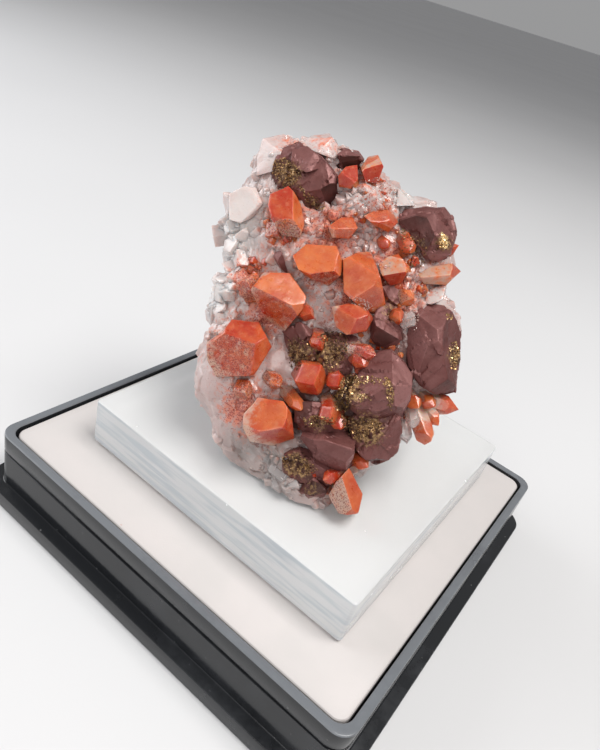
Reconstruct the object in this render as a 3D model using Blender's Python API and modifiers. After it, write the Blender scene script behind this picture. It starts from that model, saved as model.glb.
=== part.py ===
"""Red quartz with chalcopyrite, standing on a clear block in a small square display tray.

The specimen is laid out on a picture plane that leans back as its crystal face does. A point
is (across, up, out): across and up in millimetres on that plane, out towards the viewer. The
tables of crystals are in those millimetres, and the finished specimen is placed over the base
by the plane's position and turn.
"""

import math
from typing import NamedTuple

import bmesh
import bpy
import numpy as np
from mathutils import Matrix, Vector, noise

MM = 0.001
GAP = 0.3
WELD = 0.01

# Display base, in millimetres, with +Z up and the origin under the middle of the tray
FLANGE_SIDE = 55.6
FLANGE_HEIGHT = 2.2
TRAY_SIDE = 52.6
TRAY_HEIGHT = 9.7
LINER_SIDE = 50.0
LINER_TOP = 9.4
LINER_THICKNESS = 3.0
BLOCK_SIDE = 38.7
BLOCK_TOP = 15.75
BLOCK_CENTRE = (0.66, 0.95)
TRAY_CORNER = 2.0
FLANGE_CORNER = 3.2
RECESS_CORNER = 1.6
LINER_CORNER = 1.4
CORNER_STEPS = 4
TRAY_EDGE = 0.25
LINER_EDGE = 0.3
BLOCK_EDGE = 0.35
SHARP_ANGLE = 50.0
RECESS_CLEARANCE = 5.0

# Where the specimen's picture plane stands over the base, and how it is turned
FACE_ORIGIN = (1.02, -4.40, BLOCK_TOP + 17.25)
FACE_YAW = 27.47
FACE_PITCH = 57.73
FACE_ROLL = 17.33
FOOT_HEIGHT = BLOCK_TOP + GAP
FOOT_SLAB = (120.0, 120.0, 40.0)

# The viewer's eye over the picture plane: sizes shrink towards it
EYE_ACROSS = -3.3
EYE_UP = -5.5
EYE_OUT = 70.0

# Quartz matrix: outline of the specimen on the picture plane, anticlockwise
OUTLINE = (
    (14.0, -2.0), (14.2, 1.0), (12.6, 3.4), (12.8, 5.0), (13.6, 7.2), (13.6, 9.4), (13.0, 11.6),
    (11.4, 13.2), (9.0, 14.0), (7.4, 14.8), (6.0, 16.2), (4.0, 17.6), (2.4, 19.0), (0.8, 20.0),
    (-0.6, 20.8), (-2.2, 20.6), (-3.6, 20.0), (-5.2, 20.9), (-7.4, 20.4), (-7.9, 18.4),
    (-8.4, 16.4), (-9.6, 15.0), (-11.0, 14.4), (-11.2, 12.0), (-11.3, 10.2), (-10.9, 8.0),
    (-11.6, 6.2), (-12.4, 4.4), (-12.9, 2.6), (-13.0, 0.2), (-13.7, -1.8), (-14.6, -3.8),
    (-15.0, -6.0), (-14.7, -7.8), (-13.6, -9.2), (-12.9, -10.6), (-12.6, -12.6), (-11.0, -14.8),
    (-9.4, -16.8), (-7.0, -19.0), (-4.4, -20.6), (-1.8, -21.2), (0.2, -20.2), (1.6, -18.2),
    (2.6, -16.4), (4.4, -15.4), (6.0, -14.8), (7.2, -13.4), (8.2, -11.6), (9.0, -9.4),
    (11.0, -8.0), (13.0, -7.2), (13.8, -5.0),
)
RIM_OUT = -4.4
FACE_RISE = 5.2
BACK_DEPTH = 22.0
SQUARENESS = 0.72
ROUGH_SIZE = 3.4
ROUGH_HEIGHT = 0.55
MATRIX_DETAIL = 4


class Lump(NamedTuple):
    """A swelling of the matrix face: its middle, its height and how wide it spreads."""

    across: float
    up: float
    height: float
    width: float


LUMPS = (
    Lump(-12.2, -6.4, 2.6, 3.4),
    Lump(5.0, 14.2, 2.8, 3.2),
    Lump(-6.6, 10.0, 0.9, 2.6),
    Lump(-1.0, 10.6, 0.8, 3.0),
    Lump(0.6, -4.0, 1.0, 6.0),
    Lump(-8.0, -14.6, -0.6, 3.0),
    Lump(-3.0, -18.0, 2.6, 3.4),
    Lump(8.0, 2.6, 0.8, 3.0),
)


class Facet(NamedTuple):
    """A flat face: a point on it, and the way its outside faces (heading on the plane, rise out)."""

    across: float
    up: float
    out: float
    heading: float
    rise: float


BACK_BREAKS = (
    Facet(-2.6, -8.4, -18.2, 72.7, -71.3),
    Facet(-9.5, 4.0, -11.4, 160.0, -48.0),
    Facet(9.8, 2.0, -12.6, 10.0, -50.0),
    Facet(2.0, 17.0, -9.4, 95.0, -50.0),
    Facet(-10.0, -10.0, -16.0, 200.0, -38.0),
    Facet(7.5, -9.0, -16.5, -20.0, -40.0),
)


class Form(NamedTuple):
    """How deep each of the six end faces of a quartz crystal cuts, as parts of its radius."""

    drops: tuple[float, float, float, float, float, float]


POINT = Form((0.0, 0.05, 0.1, 0.0, 0.1, 0.05))
THREE = Form((0.35, -0.5, 0.3, -0.5, 0.4, -0.5))
CHISEL = Form((0.7, 0.0, -0.2, 0.6, 0.1, -0.2))
PRISM_SIDES = 6
END_FACE_SLOPE = 51.8


class Prism(NamedTuple):
    """A small quartz crystal: its tip, the way it points, its size and its turn about its axis."""

    across: float
    up: float
    out: float
    heading: float
    rise: float
    radius: float
    length: float
    turn: float = 0.0
    form: Form = POINT


class Crystal(NamedTuple):
    """A large crystal: its outline on the picture plane, its depth and its front faces."""

    outline: tuple[tuple[float, float], ...]
    back: float
    front: float
    facets: tuple[Facet, ...]


# Large quartz crystals, from the upper left one down and across
LARGE_QUARTZ = (
    Crystal(
        ((-6.6, 14.4), (-5.2, 15.0), (-4.6, 15.3), (-3.9, 14.6), (-3.2, 13.2), (-2.8, 11.0), (-3.3, 9.6),
         (-5.2, 9.8), (-6.5, 11.7), (-6.8, 13.2)),
        -5.0, 6.0,
        (Facet(-5.1, 13.2, 3.0, 105, 68), Facet(-3.7, 13.0, 2.6, 15, 32), Facet(-4.9, 10.9, 3.0, -100, 42)),
    ),
    Crystal(
        ((-4.1, 7.6), (-2.6, 8.9), (0.7, 8.7), (1.4, 6.9), (1.2, 5.5), (-0.1, 4.3), (-2.2, 5.1), (-3.5, 6.1)),
        -5.0, 7.0,
        (Facet(-1.3, 7.4, 3.7, 95, 62), Facet(-1.1, 5.6, 4.4, -82, 30), Facet(1.0, 7.0, 3.6, 5, 34)),
    ),
    Crystal(
        ((1.4, 7.2), (3.1, 8.0), (4.5, 8.1), (5.6, 5.2), (6.2, 1.9), (5.4, 1.0), (3.5, 1.8), (1.5, 3.6)),
        -5.0, 7.0,
        (Facet(3.4, 5.0, 4.0, 150, 76), Facet(4.0, 7.2, 3.4, 60, 38), Facet(3.8, 3.6, 4.2, -65, 46),
         Facet(5.0, 1.8, 3.0, -85, 14)),
    ),
    Crystal(
        ((-8.7, 3.9), (-7.3, 5.8), (-4.4, 5.7), (-2.6, 3.1), (-3.0, 1.7), (-5.0, -0.7), (-7.0, 0.6),
         (-8.0, 2.3)),
        -5.0, 7.5,
        (Facet(-5.7, 4.3, 4.4, 60, 68), Facet(-6.0, 2.7, 4.7, -118, 40), Facet(-3.5, 1.6, 4.9, -30, 42)),
    ),
    Crystal(
        ((-13.6, -1.9), (-11.8, -0.8), (-10.8, 0.6), (-7.8, 0.3), (-6.4, -2.4), (-8.4, -5.6), (-12.5, -5.7),
         (-13.5, -3.9)),
        -6.0, 7.0,
        (Facet(-9.4, -1.3, 4.2, 88, 50), Facet(-10.5, -3.3, 3.7, 215, 66), Facet(-7.9, -3.0, 4.2, -28, 44)),
    ),
    Crystal(
        ((-9.5, -9.8), (-7.9, -8.0), (-5.1, -8.4), (-4.3, -9.6), (-3.9, -12.5), (-6.4, -13.3), (-8.8, -12.8),
         (-9.6, -11.3)),
        -6.0, 7.0,
        (Facet(-6.4, -9.6, 3.7, 112, 70), Facet(-6.6, -11.6, 4.2, -82, 32), Facet(-4.4, -10.5, 3.6, 8, 26)),
    ),
    Crystal(
        ((0.2, 2.0), (2.0, 2.4), (4.0, 2.0), (4.8, 0.7), (4.0, -0.7), (1.8, -1.1), (0.6, -0.2)),
        -4.0, 7.0,
        (Facet(2.8, 1.4, 4.3, 85, 54), Facet(3.5, 0.1, 4.2, -50, 48), Facet(1.3, 0.8, 4.1, 200, 62)),
    ),
    Crystal(
        ((5.4, 6.7), (6.3, 7.5), (7.5, 7.8), (8.8, 6.4), (7.9, 4.6), (6.6, 4.3), (5.7, 5.5)),
        -5.0, 6.0,
        (Facet(7.0, 6.6, 3.0, 110, 78), Facet(7.4, 7.4, 2.9, 78, 34), Facet(7.3, 5.6, 3.1, -82, 32)),
    ),
    Crystal(
        ((3.4, 17.3), (4.2, 18.5), (5.3, 18.7), (5.9, 17.4), (5.2, 15.6), (3.9, 15.7)),
        -5.0, 4.0,
        (Facet(4.5, 17.9, 1.0, 105, 42), Facet(4.6, 16.6, 1.4, -65, 56)),
    ),
    Crystal(
        ((0.9, 16.4), (1.7, 17.4), (3.0, 17.6), (3.1, 16.0), (2.2, 15.0), (1.0, 15.2)),
        -5.0, 4.0,
        (Facet(2.3, 16.8, 1.6, 60, 56), Facet(1.6, 15.8, 1.8, -140, 58)),
    ),
    Crystal(
        ((3.7, 12.0), (5.5, 12.8), (6.9, 12.5), (7.5, 11.3), (6.4, 10.2), (4.8, 11.0)),
        -5.0, 5.0,
        (Facet(5.5, 12.0, 2.6, 75, 58), Facet(6.4, 11.1, 2.6, -50, 54)),
    ),
    Crystal(
        ((-0.2, 10.9), (1.2, 11.8), (2.5, 11.9), (3.1, 10.7), (2.1, 9.5), (0.2, 9.6)),
        -5.0, 5.0,
        (Facet(1.7, 11.2, 2.7, 80, 58), Facet(1.8, 10.0, 2.6, -70, 50)),
    ),
    Crystal(
        ((9.7, 5.6), (11.1, 6.4), (13.5, 6.8), (14.4, 5.9), (12.8, 4.4), (10.3, 4.5)),
        -6.0, 4.0,
        (Facet(11.7, 5.9, 0.9, 95, 52), Facet(11.7, 5.0, 1.0, -85, 44), Facet(13.7, 5.8, 0.3, 0, 34)),
    ),
    Crystal(
        ((2.1, -15.7), (3.6, -18.6), (3.0, -21.2), (0.9, -20.7), (-0.2, -18.7), (0.7, -17.2)),
        -5.0, 5.0,
        (Facet(2.9, -18.2, 1.8, 12, 52), Facet(1.1, -19.2, 2.0, 205, 58), Facet(2.4, -20.8, 0.7, -80, 10)),
    ),
    Crystal(
        ((-11.1, 14.4), (-9.4, 15.3), (-8.1, 15.0), (-7.4, 13.4), (-8.3, 11.9), (-9.9, 11.2), (-11.1, 11.6)),
        -6.0, 4.0,
        (Facet(-9.5, 13.2, 0.4, 150, 76), Facet(-8.6, 12.2, 0.5, -50, 50)),
    ),
    Crystal(
        ((-7.4, 20.5), (-5.1, 21.0), (-3.4, 20.2), (-5.2, 19.3), (-6.2, 16.9), (-8.1, 16.4), (-8.0, 18.4)),
        -6.0, 3.0,
        (Facet(-6.9, 18.4, -0.6, 165, 62), Facet(-5.0, 20.3, -1.4, 80, 50)),
    ),
    Crystal(
        ((-3.2, 19.8), (-2.1, 20.8), (-0.1, 21.1), (0.9, 19.8), (0.7, 18.2), (-1.3, 18.9)),
        -6.0, 3.0,
        (Facet(-1.7, 20.3, -0.6, 110, 56), Facet(0.1, 19.5, -0.4, 10, 58)),
    ),
    Crystal(
        ((7.3, 13.1), (7.5, 15.0), (8.4, 14.4), (10.0, 13.6), (9.7, 13.1)),
        -6.0, 3.0,
        (Facet(8.3, 14.0, -0.6, 80, 48),),
    ),
    Crystal(
        ((10.3, 2.4), (11.1, 4.0), (12.8, 4.5), (12.4, 2.9), (11.4, 2.2)),
        -6.0, 3.0,
        (Facet(11.4, 3.5, 0.0, 120, 58),),
    ),
)

# Small six sided quartz crystals: the red ones, then the milky and clear ones
SMALL_QUARTZ = (
    Prism(-1.7, -6.5, 4.8, -60, 72, 1.9, 10.0, 0, THREE),
    Prism(0.9, -6.7, 4.0, -70, 66, 1.1, 9.0, 15, THREE),
    Prism(-1.1, -2.2, 3.8, -80, 70, 1.1, 8.0, 0, THREE),
    Prism(5.1, -3.3, 4.6, -15, 40, 0.9, 8.0, 0, POINT),
    Prism(3.8, -4.6, 4.6, -70, 60, 1.2, 8.0, 20, POINT),
    Prism(0.0, -10.4, 4.9, -85, 66, 1.1, 9.0, 10, THREE),
    Prism(1.2, -11.5, 4.6, -75, 54, 0.8, 8.0, 0, POINT),
    Prism(8.9, 7.9, 2.3, -80, 46, 0.9, 6.0, 0, POINT),
    Prism(6.4, 8.6, 2.0, -60, 56, 0.7, 5.0, 0, POINT),
    Prism(-2.1, 1.3, 3.6, -20, 64, 0.95, 7.0, 24, THREE),
    Prism(7.8, 0.4, 3.2, -70, 64, 0.9, 7.0, 0, POINT),
    Prism(-0.8, -17.0, 2.9, 190, 46, 0.8, 6.0, 0, POINT),
    Prism(4.2, -15.7, 2.2, -36, 50, 0.8, 8.5, 0, POINT),
    Prism(-3.1, -9.4, 3.4, -50, 48, 0.9, 7.0, 30, POINT),
    Prism(-9.3, -7.4, 3.0, -40, 70, 1.2, 6.0, 0, THREE),
    Prism(-5.5, -6.6, 3.0, -35, 60, 0.9, 6.0, 0, POINT),
    Prism(-9.2, 5.0, 2.9, 120, 70, 1.5, 6.0, 0, THREE),
    Prism(-5.8, 10.0, 2.3, -70, 66, 1.3, 6.0, 20, THREE),
    Prism(9.3, 2.9, 2.6, -20, 60, 1.0, 6.0, 0, POINT),
    Prism(-3.3, -17.9, 1.2, -30, 32, 0.8, 5.0, 0, POINT),
    Prism(14.2, 8.8, -1.6, 20, 16, 0.8, 5.0, 0, POINT),
    Prism(10.8, -13.0, -0.6, -72, 18, 1.1, 7.0, 30, CHISEL),
    Prism(12.2, -11.1, -1.2, -50, 20, 0.8, 6.0, 30, POINT),
    Prism(14.2, -9.3, -1.6, -16, 16, 1.1, 7.5, 0, POINT),
    Prism(9.3, -11.5, 0.6, -86, 34, 0.8, 5.4, 0, POINT),
    Prism(9.8, -9.2, 1.2, -60, 50, 0.9, 7.0, 0, POINT),
    Prism(8.5, -13.1, -1.6, -82, 14, 0.8, 6.2, 24, POINT),
    Prism(11.6, -9.0, 0.2, -40, 50, 0.9, 7.0, 10, POINT),
    Prism(9.4, 0.9, 3.4, 20, 60, 0.9, 7.0, 0, THREE),
    Prism(-10.0, 9.8, -0.6, 160, 60, 1.1, 6.0, 0, THREE),
    Prism(-9.6, 8.0, -0.4, -20, 64, 1.0, 6.0, 30, THREE),
    Prism(-11.6, 5.4, -1.6, 170, 48, 0.9, 5.0, 0, POINT),
    Prism(-12.6, 3.0, -2.4, 190, 44, 1.1, 6.0, 30, THREE),
    Prism(-5.4, -18.6, -0.4, -70, 20, 0.8, 5.0, 0, POINT),
)


CHALCOPYRITE = {
    "chalcopyrite_top": (
        Crystal(
            ((-5.4, 19.3), (-6.4, 16.6), (-5.6, 15.2), (-4.4, 15.0), (-2.8, 13.1), (-1.1, 12.4),
             (0.8, 13.8), (0.9, 16.4), (-0.9, 18.6), (-3.3, 20.0)),
            -5.0, 4.0,
            (Facet(-2.6, 17.8, 1.9, 115, 62), Facet(-0.6, 15.6, 1.9, 5, 66),
             Facet(-1.1, 14.5, 2.0, -78, 20), Facet(-4.6, 17.0, 1.1, 195, 48)),
        ),
    ),
    "chalcopyrite_crest": (
        Crystal(
            ((0.9, 19.4), (0.8, 18.0), (1.2, 17.3), (3.1, 17.6), (3.7, 18.3), (3.1, 19.4), (1.7, 19.8)),
            -5.0, 2.0,
            (Facet(2.2, 18.9, 0.4, 85, 46), Facet(2.0, 18.3, 0.7, -80, 24)),
        ),
    ),
    "chalcopyrite_shoulder": (
        Crystal(
            ((7.4, 12.2), (7.5, 10.6), (8.2, 9.4), (9.6, 8.8), (10.2, 7.2), (11.8, 6.8), (13.2, 7.8),
             (13.9, 9.6), (13.4, 11.8), (12.6, 12.9), (10.6, 13.1), (8.2, 12.9)),
            -6.0, 4.0,
            (Facet(9.4, 10.6, 1.3, 205, 62), Facet(12.3, 10.4, 1.1, 22, 50),
             Facet(11.0, 7.8, 1.2, -80, 38), Facet(10.6, 12.4, 1.2, 85, 40)),
        ),
    ),
    "chalcopyrite_right": (
        Crystal(
            ((8.8, 0.4), (8.4, -1.6), (8.7, -4.6), (9.8, -6.2), (12.2, -7.7), (13.8, -7.4), (14.2, -4.4),
             (14.1, -2.2), (14.4, -0.6), (13.4, 1.4), (12.6, 2.3), (10.8, 2.4), (9.8, 1.8)),
            -8.0, 5.0,
            (Facet(10.9, -3.2, 2.3, -125, 70), Facet(11.8, 0.6, 1.5, 72, 46),
             Facet(13.2, -3.0, 0.9, 4, 34), Facet(12.8, -6.8, 0.4, -70, 30)),
        ),
    ),
    "chalcopyrite_core": (
        Crystal(
            ((6.7, -2.7), (5.4, -3.0), (4.2, -4.2), (3.0, -5.6), (2.3, -7.0), (2.4, -9.4), (3.4, -10.4),
             (6.1, -10.6), (8.0, -9.9), (8.8, -8.3), (9.0, -5.5), (8.1, -4.1)),
            -4.0, 7.0,
            (Facet(8.0, -4.8, 3.9, 35, 46), Facet(4.9, -4.6, 3.9, 125, 50),
             Facet(6.0, -8.2, 5.2, -75, 62), Facet(5.6, -10.2, 4.4, -92, 12)),
        ),
        Crystal(
            ((2.2, -10.6), (3.2, -9.6), (7.6, -9.8), (7.9, -11.8), (7.3, -13.8), (6.5, -14.9),
             (5.0, -15.5), (3.9, -14.9), (2.6, -13.4)),
            -5.0, 5.0,
            (Facet(5.4, -13.2, 2.7, -40, 52), Facet(3.6, -12.6, 3.1, 190, 56),
             Facet(5.0, -14.9, 1.6, -88, 14)),
        ),
        Crystal(
            ((-3.3, -12.4), (-2.8, -11.4), (-1.0, -11.7), (1.6, -11.6), (2.8, -12.6), (2.6, -14.6),
             (1.8, -15.8), (0.6, -16.1), (-1.1, -15.3), (-2.2, -14.2)),
            -3.0, 6.0,
            (Facet(-0.3, -14.0, 3.7, -105, 64), Facet(-0.3, -12.2, 3.9, 92, 48)),
        ),
    ),
    "chalcopyrite_middle": (
        Crystal(
            ((-0.4, -0.9), (1.7, -1.0), (3.0, -1.4), (2.5, -3.9), (2.2, -5.6), (0.6, -6.0), (-0.8, -6.4),
             (-1.4, -4.0), (-1.2, -2.0)),
            -3.0, 5.0,
            (Facet(1.4, -3.0, 2.7, -15, 68), Facet(0.4, -5.4, 2.5, -95, 52),
             Facet(0.6, -1.4, 2.5, 95, 46)),
        ),
        Crystal(
            ((-3.2, 0.4), (-5.2, -0.8), (-5.0, -2.4), (-3.6, -4.6), (-2.0, -5.4), (-0.6, -4.8),
             (-0.6, -1.2), (-2.2, -0.4)),
            -3.0, 5.0,
            (Facet(-3.0, -2.2, 2.4, 205, 64), Facet(-1.6, -2.4, 2.4, 0, 70),
             Facet(-2.4, -4.4, 2.1, -95, 50)),
        ),
    ),
    "chalcopyrite_foot": (
        Crystal(
            ((-5.3, -14.9), (-5.1, -16.1), (-4.2, -16.9), (-2.2, -17.8), (-1.6, -16.8), (-1.0, -15.9),
             (-2.0, -15.0), (-3.3, -14.6)),
            -4.0, 4.0,
            (Facet(-3.7, -16.0, 1.8, -120, 56), Facet(-1.9, -16.4, 1.8, 15, 48),
             Facet(-3.4, -15.0, 2.0, 88, 40)),
        ),
        Crystal(
            ((-3.4, -18.7), (-2.9, -17.4), (-1.8, -16.8), (-0.2, -18.2), (-0.6, -18.9), (-1.9, -19.7),
             (-3.0, -19.4)),
            -4.0, 3.0,
            (Facet(-1.8, -18.6, 1.1, -75, 44), Facet(-2.8, -18.0, 1.0, 170, 46)),
        ),
    ),
    "chalcopyrite_inner": (
        Crystal(
            ((5.6, 4.2), (5.9, 2.4), (7.0, 1.7), (8.0, 2.8), (7.8, 4.2), (6.8, 4.6)),
            -4.0, 4.0,
            (Facet(6.9, 3.6, 1.8, 20, 60), Facet(6.4, 2.2, 1.5, -110, 40)),
        ),
        Crystal(
            ((4.6, 0.4), (4.2, -1.4), (5.2, -2.4), (6.9, -2.5), (7.9, -1.6), (7.8, 0.8), (7.0, 2.3),
             (5.7, 2.4)),
            -4.0, 4.5,
            (Facet(6.4, 0.6, 2.3, 40, 60), Facet(5.6, -1.6, 2.2, -105, 50)),
        ),
    ),
    "chalcopyrite_wedge": (
        Crystal(
            ((-6.4, 8.0), (-6.1, 7.0), (-5.2, 6.0), (-4.5, 5.4), (-4.9, 6.8), (-5.3, 8.3)),
            -2.0, 4.0,
            (Facet(-5.4, 7.0, 2.1, -60, 62), Facet(-5.9, 7.6, 2.0, 150, 50)),
        ),
    ),
    "chalcopyrite_ledge": (
        Crystal(
            ((-10.2, -11.8), (-9.4, -13.2), (-8.6, -14.0), (-7.2, -13.4), (-4.6, -12.8), (-4.8, -11.6)),
            -5.0, 2.5,
            (Facet(-8.0, -12.8, 0.4, -110, 46), Facet(-9.2, -12.2, 0.2, 150, 50)),
        ),
    ),
}

# Colours as linear red, green and blue, with roughness and metallic values
COLOURS = {
    "tray": ((0.012, 0.013, 0.015), 0.25, 0.0),
    "liner": ((0.86, 0.85, 0.83), 0.85, 0.0),
    "clear_block": ((0.90, 0.93, 0.95), 0.05, 0.0),
    "quartz": ((0.56, 0.16, 0.08), 0.30, 0.0),
    "chalcopyrite": ((0.17, 0.06, 0.055), 0.45, 0.55),
}


def clear_scene() -> None:
    """Removes every object of the scene."""
    for thing in list(bpy.data.objects):
        bpy.data.objects.remove(thing, do_unlink=True)


def new_collection(name: str) -> bpy.types.Collection:
    """Adds a collection to the scene.

    Args:
        name: the collection's name.

    Returns:
        The linked collection.
    """
    collection = bpy.data.collections.new(name)
    bpy.context.scene.collection.children.link(collection)
    return collection


def make_material(name: str) -> bpy.types.Material:
    """Makes a plain material from the table of colours.

    Args:
        name: a key of COLOURS.

    Returns:
        The material.
    """
    colour, roughness, metallic = COLOURS[name]
    material = bpy.data.materials.new(name)
    material.use_nodes = True
    shader = material.node_tree.nodes["Principled BSDF"]
    shader.inputs["Base Color"].default_value = (*colour, 1.0)
    shader.inputs["Roughness"].default_value = roughness
    shader.inputs["Metallic"].default_value = metallic
    return material


def face_to_world() -> Matrix:
    """Gives the matrix that stands the picture plane over the base, in metres."""
    place = Matrix.Translation(Vector(FACE_ORIGIN) * MM)
    yaw = Matrix.Rotation(math.radians(FACE_YAW), 4, "Z")
    pitch = Matrix.Rotation(math.radians(FACE_PITCH), 4, "X")
    roll = Matrix.Rotation(math.radians(FACE_ROLL), 4, "Z")
    return place @ yaw @ pitch @ roll


def sight(across: float, up: float, out: float) -> Vector:
    """Slides a point of the picture plane along the line of sight to a depth.

    Args:
        across: millimetres to the right on the plane.
        up: millimetres up on the plane.
        out: depth towards the viewer.

    Returns:
        The point that the viewer sees in the same place.
    """
    shrink = (EYE_OUT - out) / EYE_OUT
    return Vector((
        EYE_ACROSS + (across - EYE_ACROSS) * shrink,
        EYE_UP + (up - EYE_UP) * shrink,
        out,
    ))


def along_sight(point: Vector, out: float) -> Vector:
    """Moves a point along the line of sight to another depth."""
    eye = Vector((EYE_ACROSS, EYE_UP, EYE_OUT))
    return eye + (point - eye) * (EYE_OUT - out) / (EYE_OUT - point.z)


def facing(heading: float, rise: float) -> Vector:
    """Gives the unit direction with a heading on the picture plane and a rise out of it."""
    flat = math.cos(math.radians(rise))
    return Vector((
        flat * math.cos(math.radians(heading)),
        flat * math.sin(math.radians(heading)),
        math.sin(math.radians(rise)),
    ))


def slice_off(shape: bmesh.types.BMesh, point: Vector, outside: Vector) -> None:
    """Cuts away what lies outside a plane and closes the cut.

    Args:
        shape: the closed mesh that is cut.
        point: a point on the plane.
        outside: the plane's normal, towards the side that goes.
    """
    every = shape.verts[:] + shape.edges[:] + shape.faces[:]
    cut = bmesh.ops.bisect_plane(
        shape, geom=every, plane_co=point, plane_no=outside, clear_outer=True, dist=1e-5
    )
    rim = [item for item in cut["geom_cut"] if isinstance(item, bmesh.types.BMEdge)]
    if rim:
        bmesh.ops.holes_fill(shape, edges=rim, sides=0)


def add_object(name: str, shape: bmesh.types.BMesh, collection: bpy.types.Collection) -> bpy.types.Object:
    """Turns a bmesh into an object of a collection.

    Args:
        name: the object's name.
        shape: its mesh, which is freed.
        collection: where it goes.

    Returns:
        The object.
    """
    bmesh.ops.remove_doubles(shape, verts=shape.verts, dist=1e-5)
    bmesh.ops.recalc_face_normals(shape, faces=shape.faces)
    mesh = bpy.data.meshes.new(name)
    shape.to_mesh(mesh)
    shape.free()
    thing = bpy.data.objects.new(name, mesh)
    collection.objects.link(thing)
    return thing


def tidy(mesh: bpy.types.Mesh) -> None:
    """Merges the slivers that a Boolean leaves along its cut, so that the next one starts clean."""
    shape = bmesh.new()
    shape.from_mesh(mesh)
    bmesh.ops.remove_doubles(shape, verts=shape.verts, dist=WELD)
    bmesh.ops.dissolve_degenerate(shape, edges=shape.edges, dist=WELD)
    bmesh.ops.triangulate(shape, faces=[face for face in shape.faces if len(face.verts) > 4])
    shape.to_mesh(mesh)
    shape.free()


def boolean(target: bpy.types.Object, tool: bpy.types.Object, operation: str) -> None:
    """Adds an exact Boolean modifier, applies it and removes the tool.

    Args:
        target: the object that changes.
        tool: the object that it is joined with or cut by.
        operation: UNION or DIFFERENCE.
    """
    modifier = target.modifiers.new("join", "BOOLEAN")
    modifier.operation = operation
    modifier.solver = "EXACT"
    modifier.object = tool
    graph = bpy.context.evaluated_depsgraph_get()
    mesh = bpy.data.meshes.new_from_object(target.evaluated_get(graph))
    target.modifiers.clear()
    tidy(mesh)
    target.data = mesh
    bpy.data.objects.remove(tool, do_unlink=True)


def outline_radius(turn: float) -> float:
    """Gives the outline's distance from the middle of the picture plane in a direction."""
    turns = [math.atan2(up, across) for across, up in OUTLINE]
    reaches = [math.hypot(across, up) for across, up in OUTLINE]
    return float(np.interp(turn, turns, reaches, period=2 * math.pi))


def matrix_point(ball: Vector) -> Vector:
    """Stretches a point of the unit ball into the quartz matrix.

    Args:
        ball: a point on the unit ball, with Z towards the viewer.

    Returns:
        The point of the matrix surface, in picture plane millimetres.
    """
    turn = math.atan2(ball.y, ball.x)
    reach = outline_radius(turn) * math.hypot(ball.x, ball.y) ** SQUARENESS
    across = reach * math.cos(turn)
    up = reach * math.sin(turn)
    lift = abs(ball.z) ** SQUARENESS
    if ball.z < 0:
        place = sight(across, up, RIM_OUT)
        place.z = RIM_OUT - BACK_DEPTH * lift
        return place
    swell = sum(
        lump.height * math.exp(-((across - lump.across) ** 2 + (up - lump.up) ** 2) / lump.width ** 2)
        for lump in LUMPS
    )
    rough = ROUGH_HEIGHT * noise.noise(Vector((across, up, 0.0)) / ROUGH_SIZE)
    return sight(across, up, RIM_OUT + lift * (FACE_RISE + swell + rough))


def make_matrix(collection: bpy.types.Collection) -> bpy.types.Object:
    """Makes the milky quartz matrix with its broken back and its foot on the block."""
    shape = bmesh.new()
    bmesh.ops.create_icosphere(shape, subdivisions=MATRIX_DETAIL, radius=1.0)
    for vertex in shape.verts:
        vertex.co = matrix_point(vertex.co)
    for broken in BACK_BREAKS:
        slice_off(shape, Vector((broken.across, broken.up, broken.out)), facing(broken.heading, broken.rise))
    return add_object("quartz", shape, collection)


def prism_frame(prism: Prism) -> Matrix:
    """Gives the matrix that stands a prism along its own direction with its tip in place."""
    axis = facing(prism.heading, prism.rise)
    guide = Vector((0, 0, 1)) if prism.rise < 60 else Vector((0, 1, 0))
    side = (guide - axis * guide.dot(axis)).normalized()
    across = axis.cross(side)
    turned = Matrix((side, across, axis)).transposed().to_4x4()
    place = Matrix.Translation(sight(prism.across, prism.up, prism.out))
    return place @ turned @ Matrix.Rotation(math.radians(prism.turn), 4, "Z")


def make_prism(prism: Prism, grow: float, collection: bpy.types.Collection) -> bpy.types.Object:
    """Makes a small quartz crystal: a six sided prism with six end faces.

    Args:
        prism: its row of a table.
        grow: how far every face moves outwards, for a cutter that leaves a gap.
        collection: where the object goes.

    Returns:
        The crystal, in picture plane millimetres.
    """
    shape = bmesh.new()
    radius = prism.radius + grow
    bmesh.ops.create_cone(
        shape, cap_ends=True, segments=PRISM_SIDES, radius1=radius, radius2=radius, depth=prism.length
    )
    bmesh.ops.translate(shape, verts=shape.verts, vec=(0, 0, -prism.length / 2 + prism.radius))
    for number, drop in enumerate(prism.form.drops):
        outside = facing(30 + 60 * number, 90 - END_FACE_SLOPE)
        point = Vector((0, 0, -drop * prism.radius)) + outside * grow
        slice_off(shape, point, outside)
    tip = max(vertex.co.z for vertex in shape.verts)
    bmesh.ops.translate(shape, verts=shape.verts, vec=(0, 0, grow - tip))
    shape.transform(prism_frame(prism))
    return add_object("prism", shape, collection)


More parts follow.
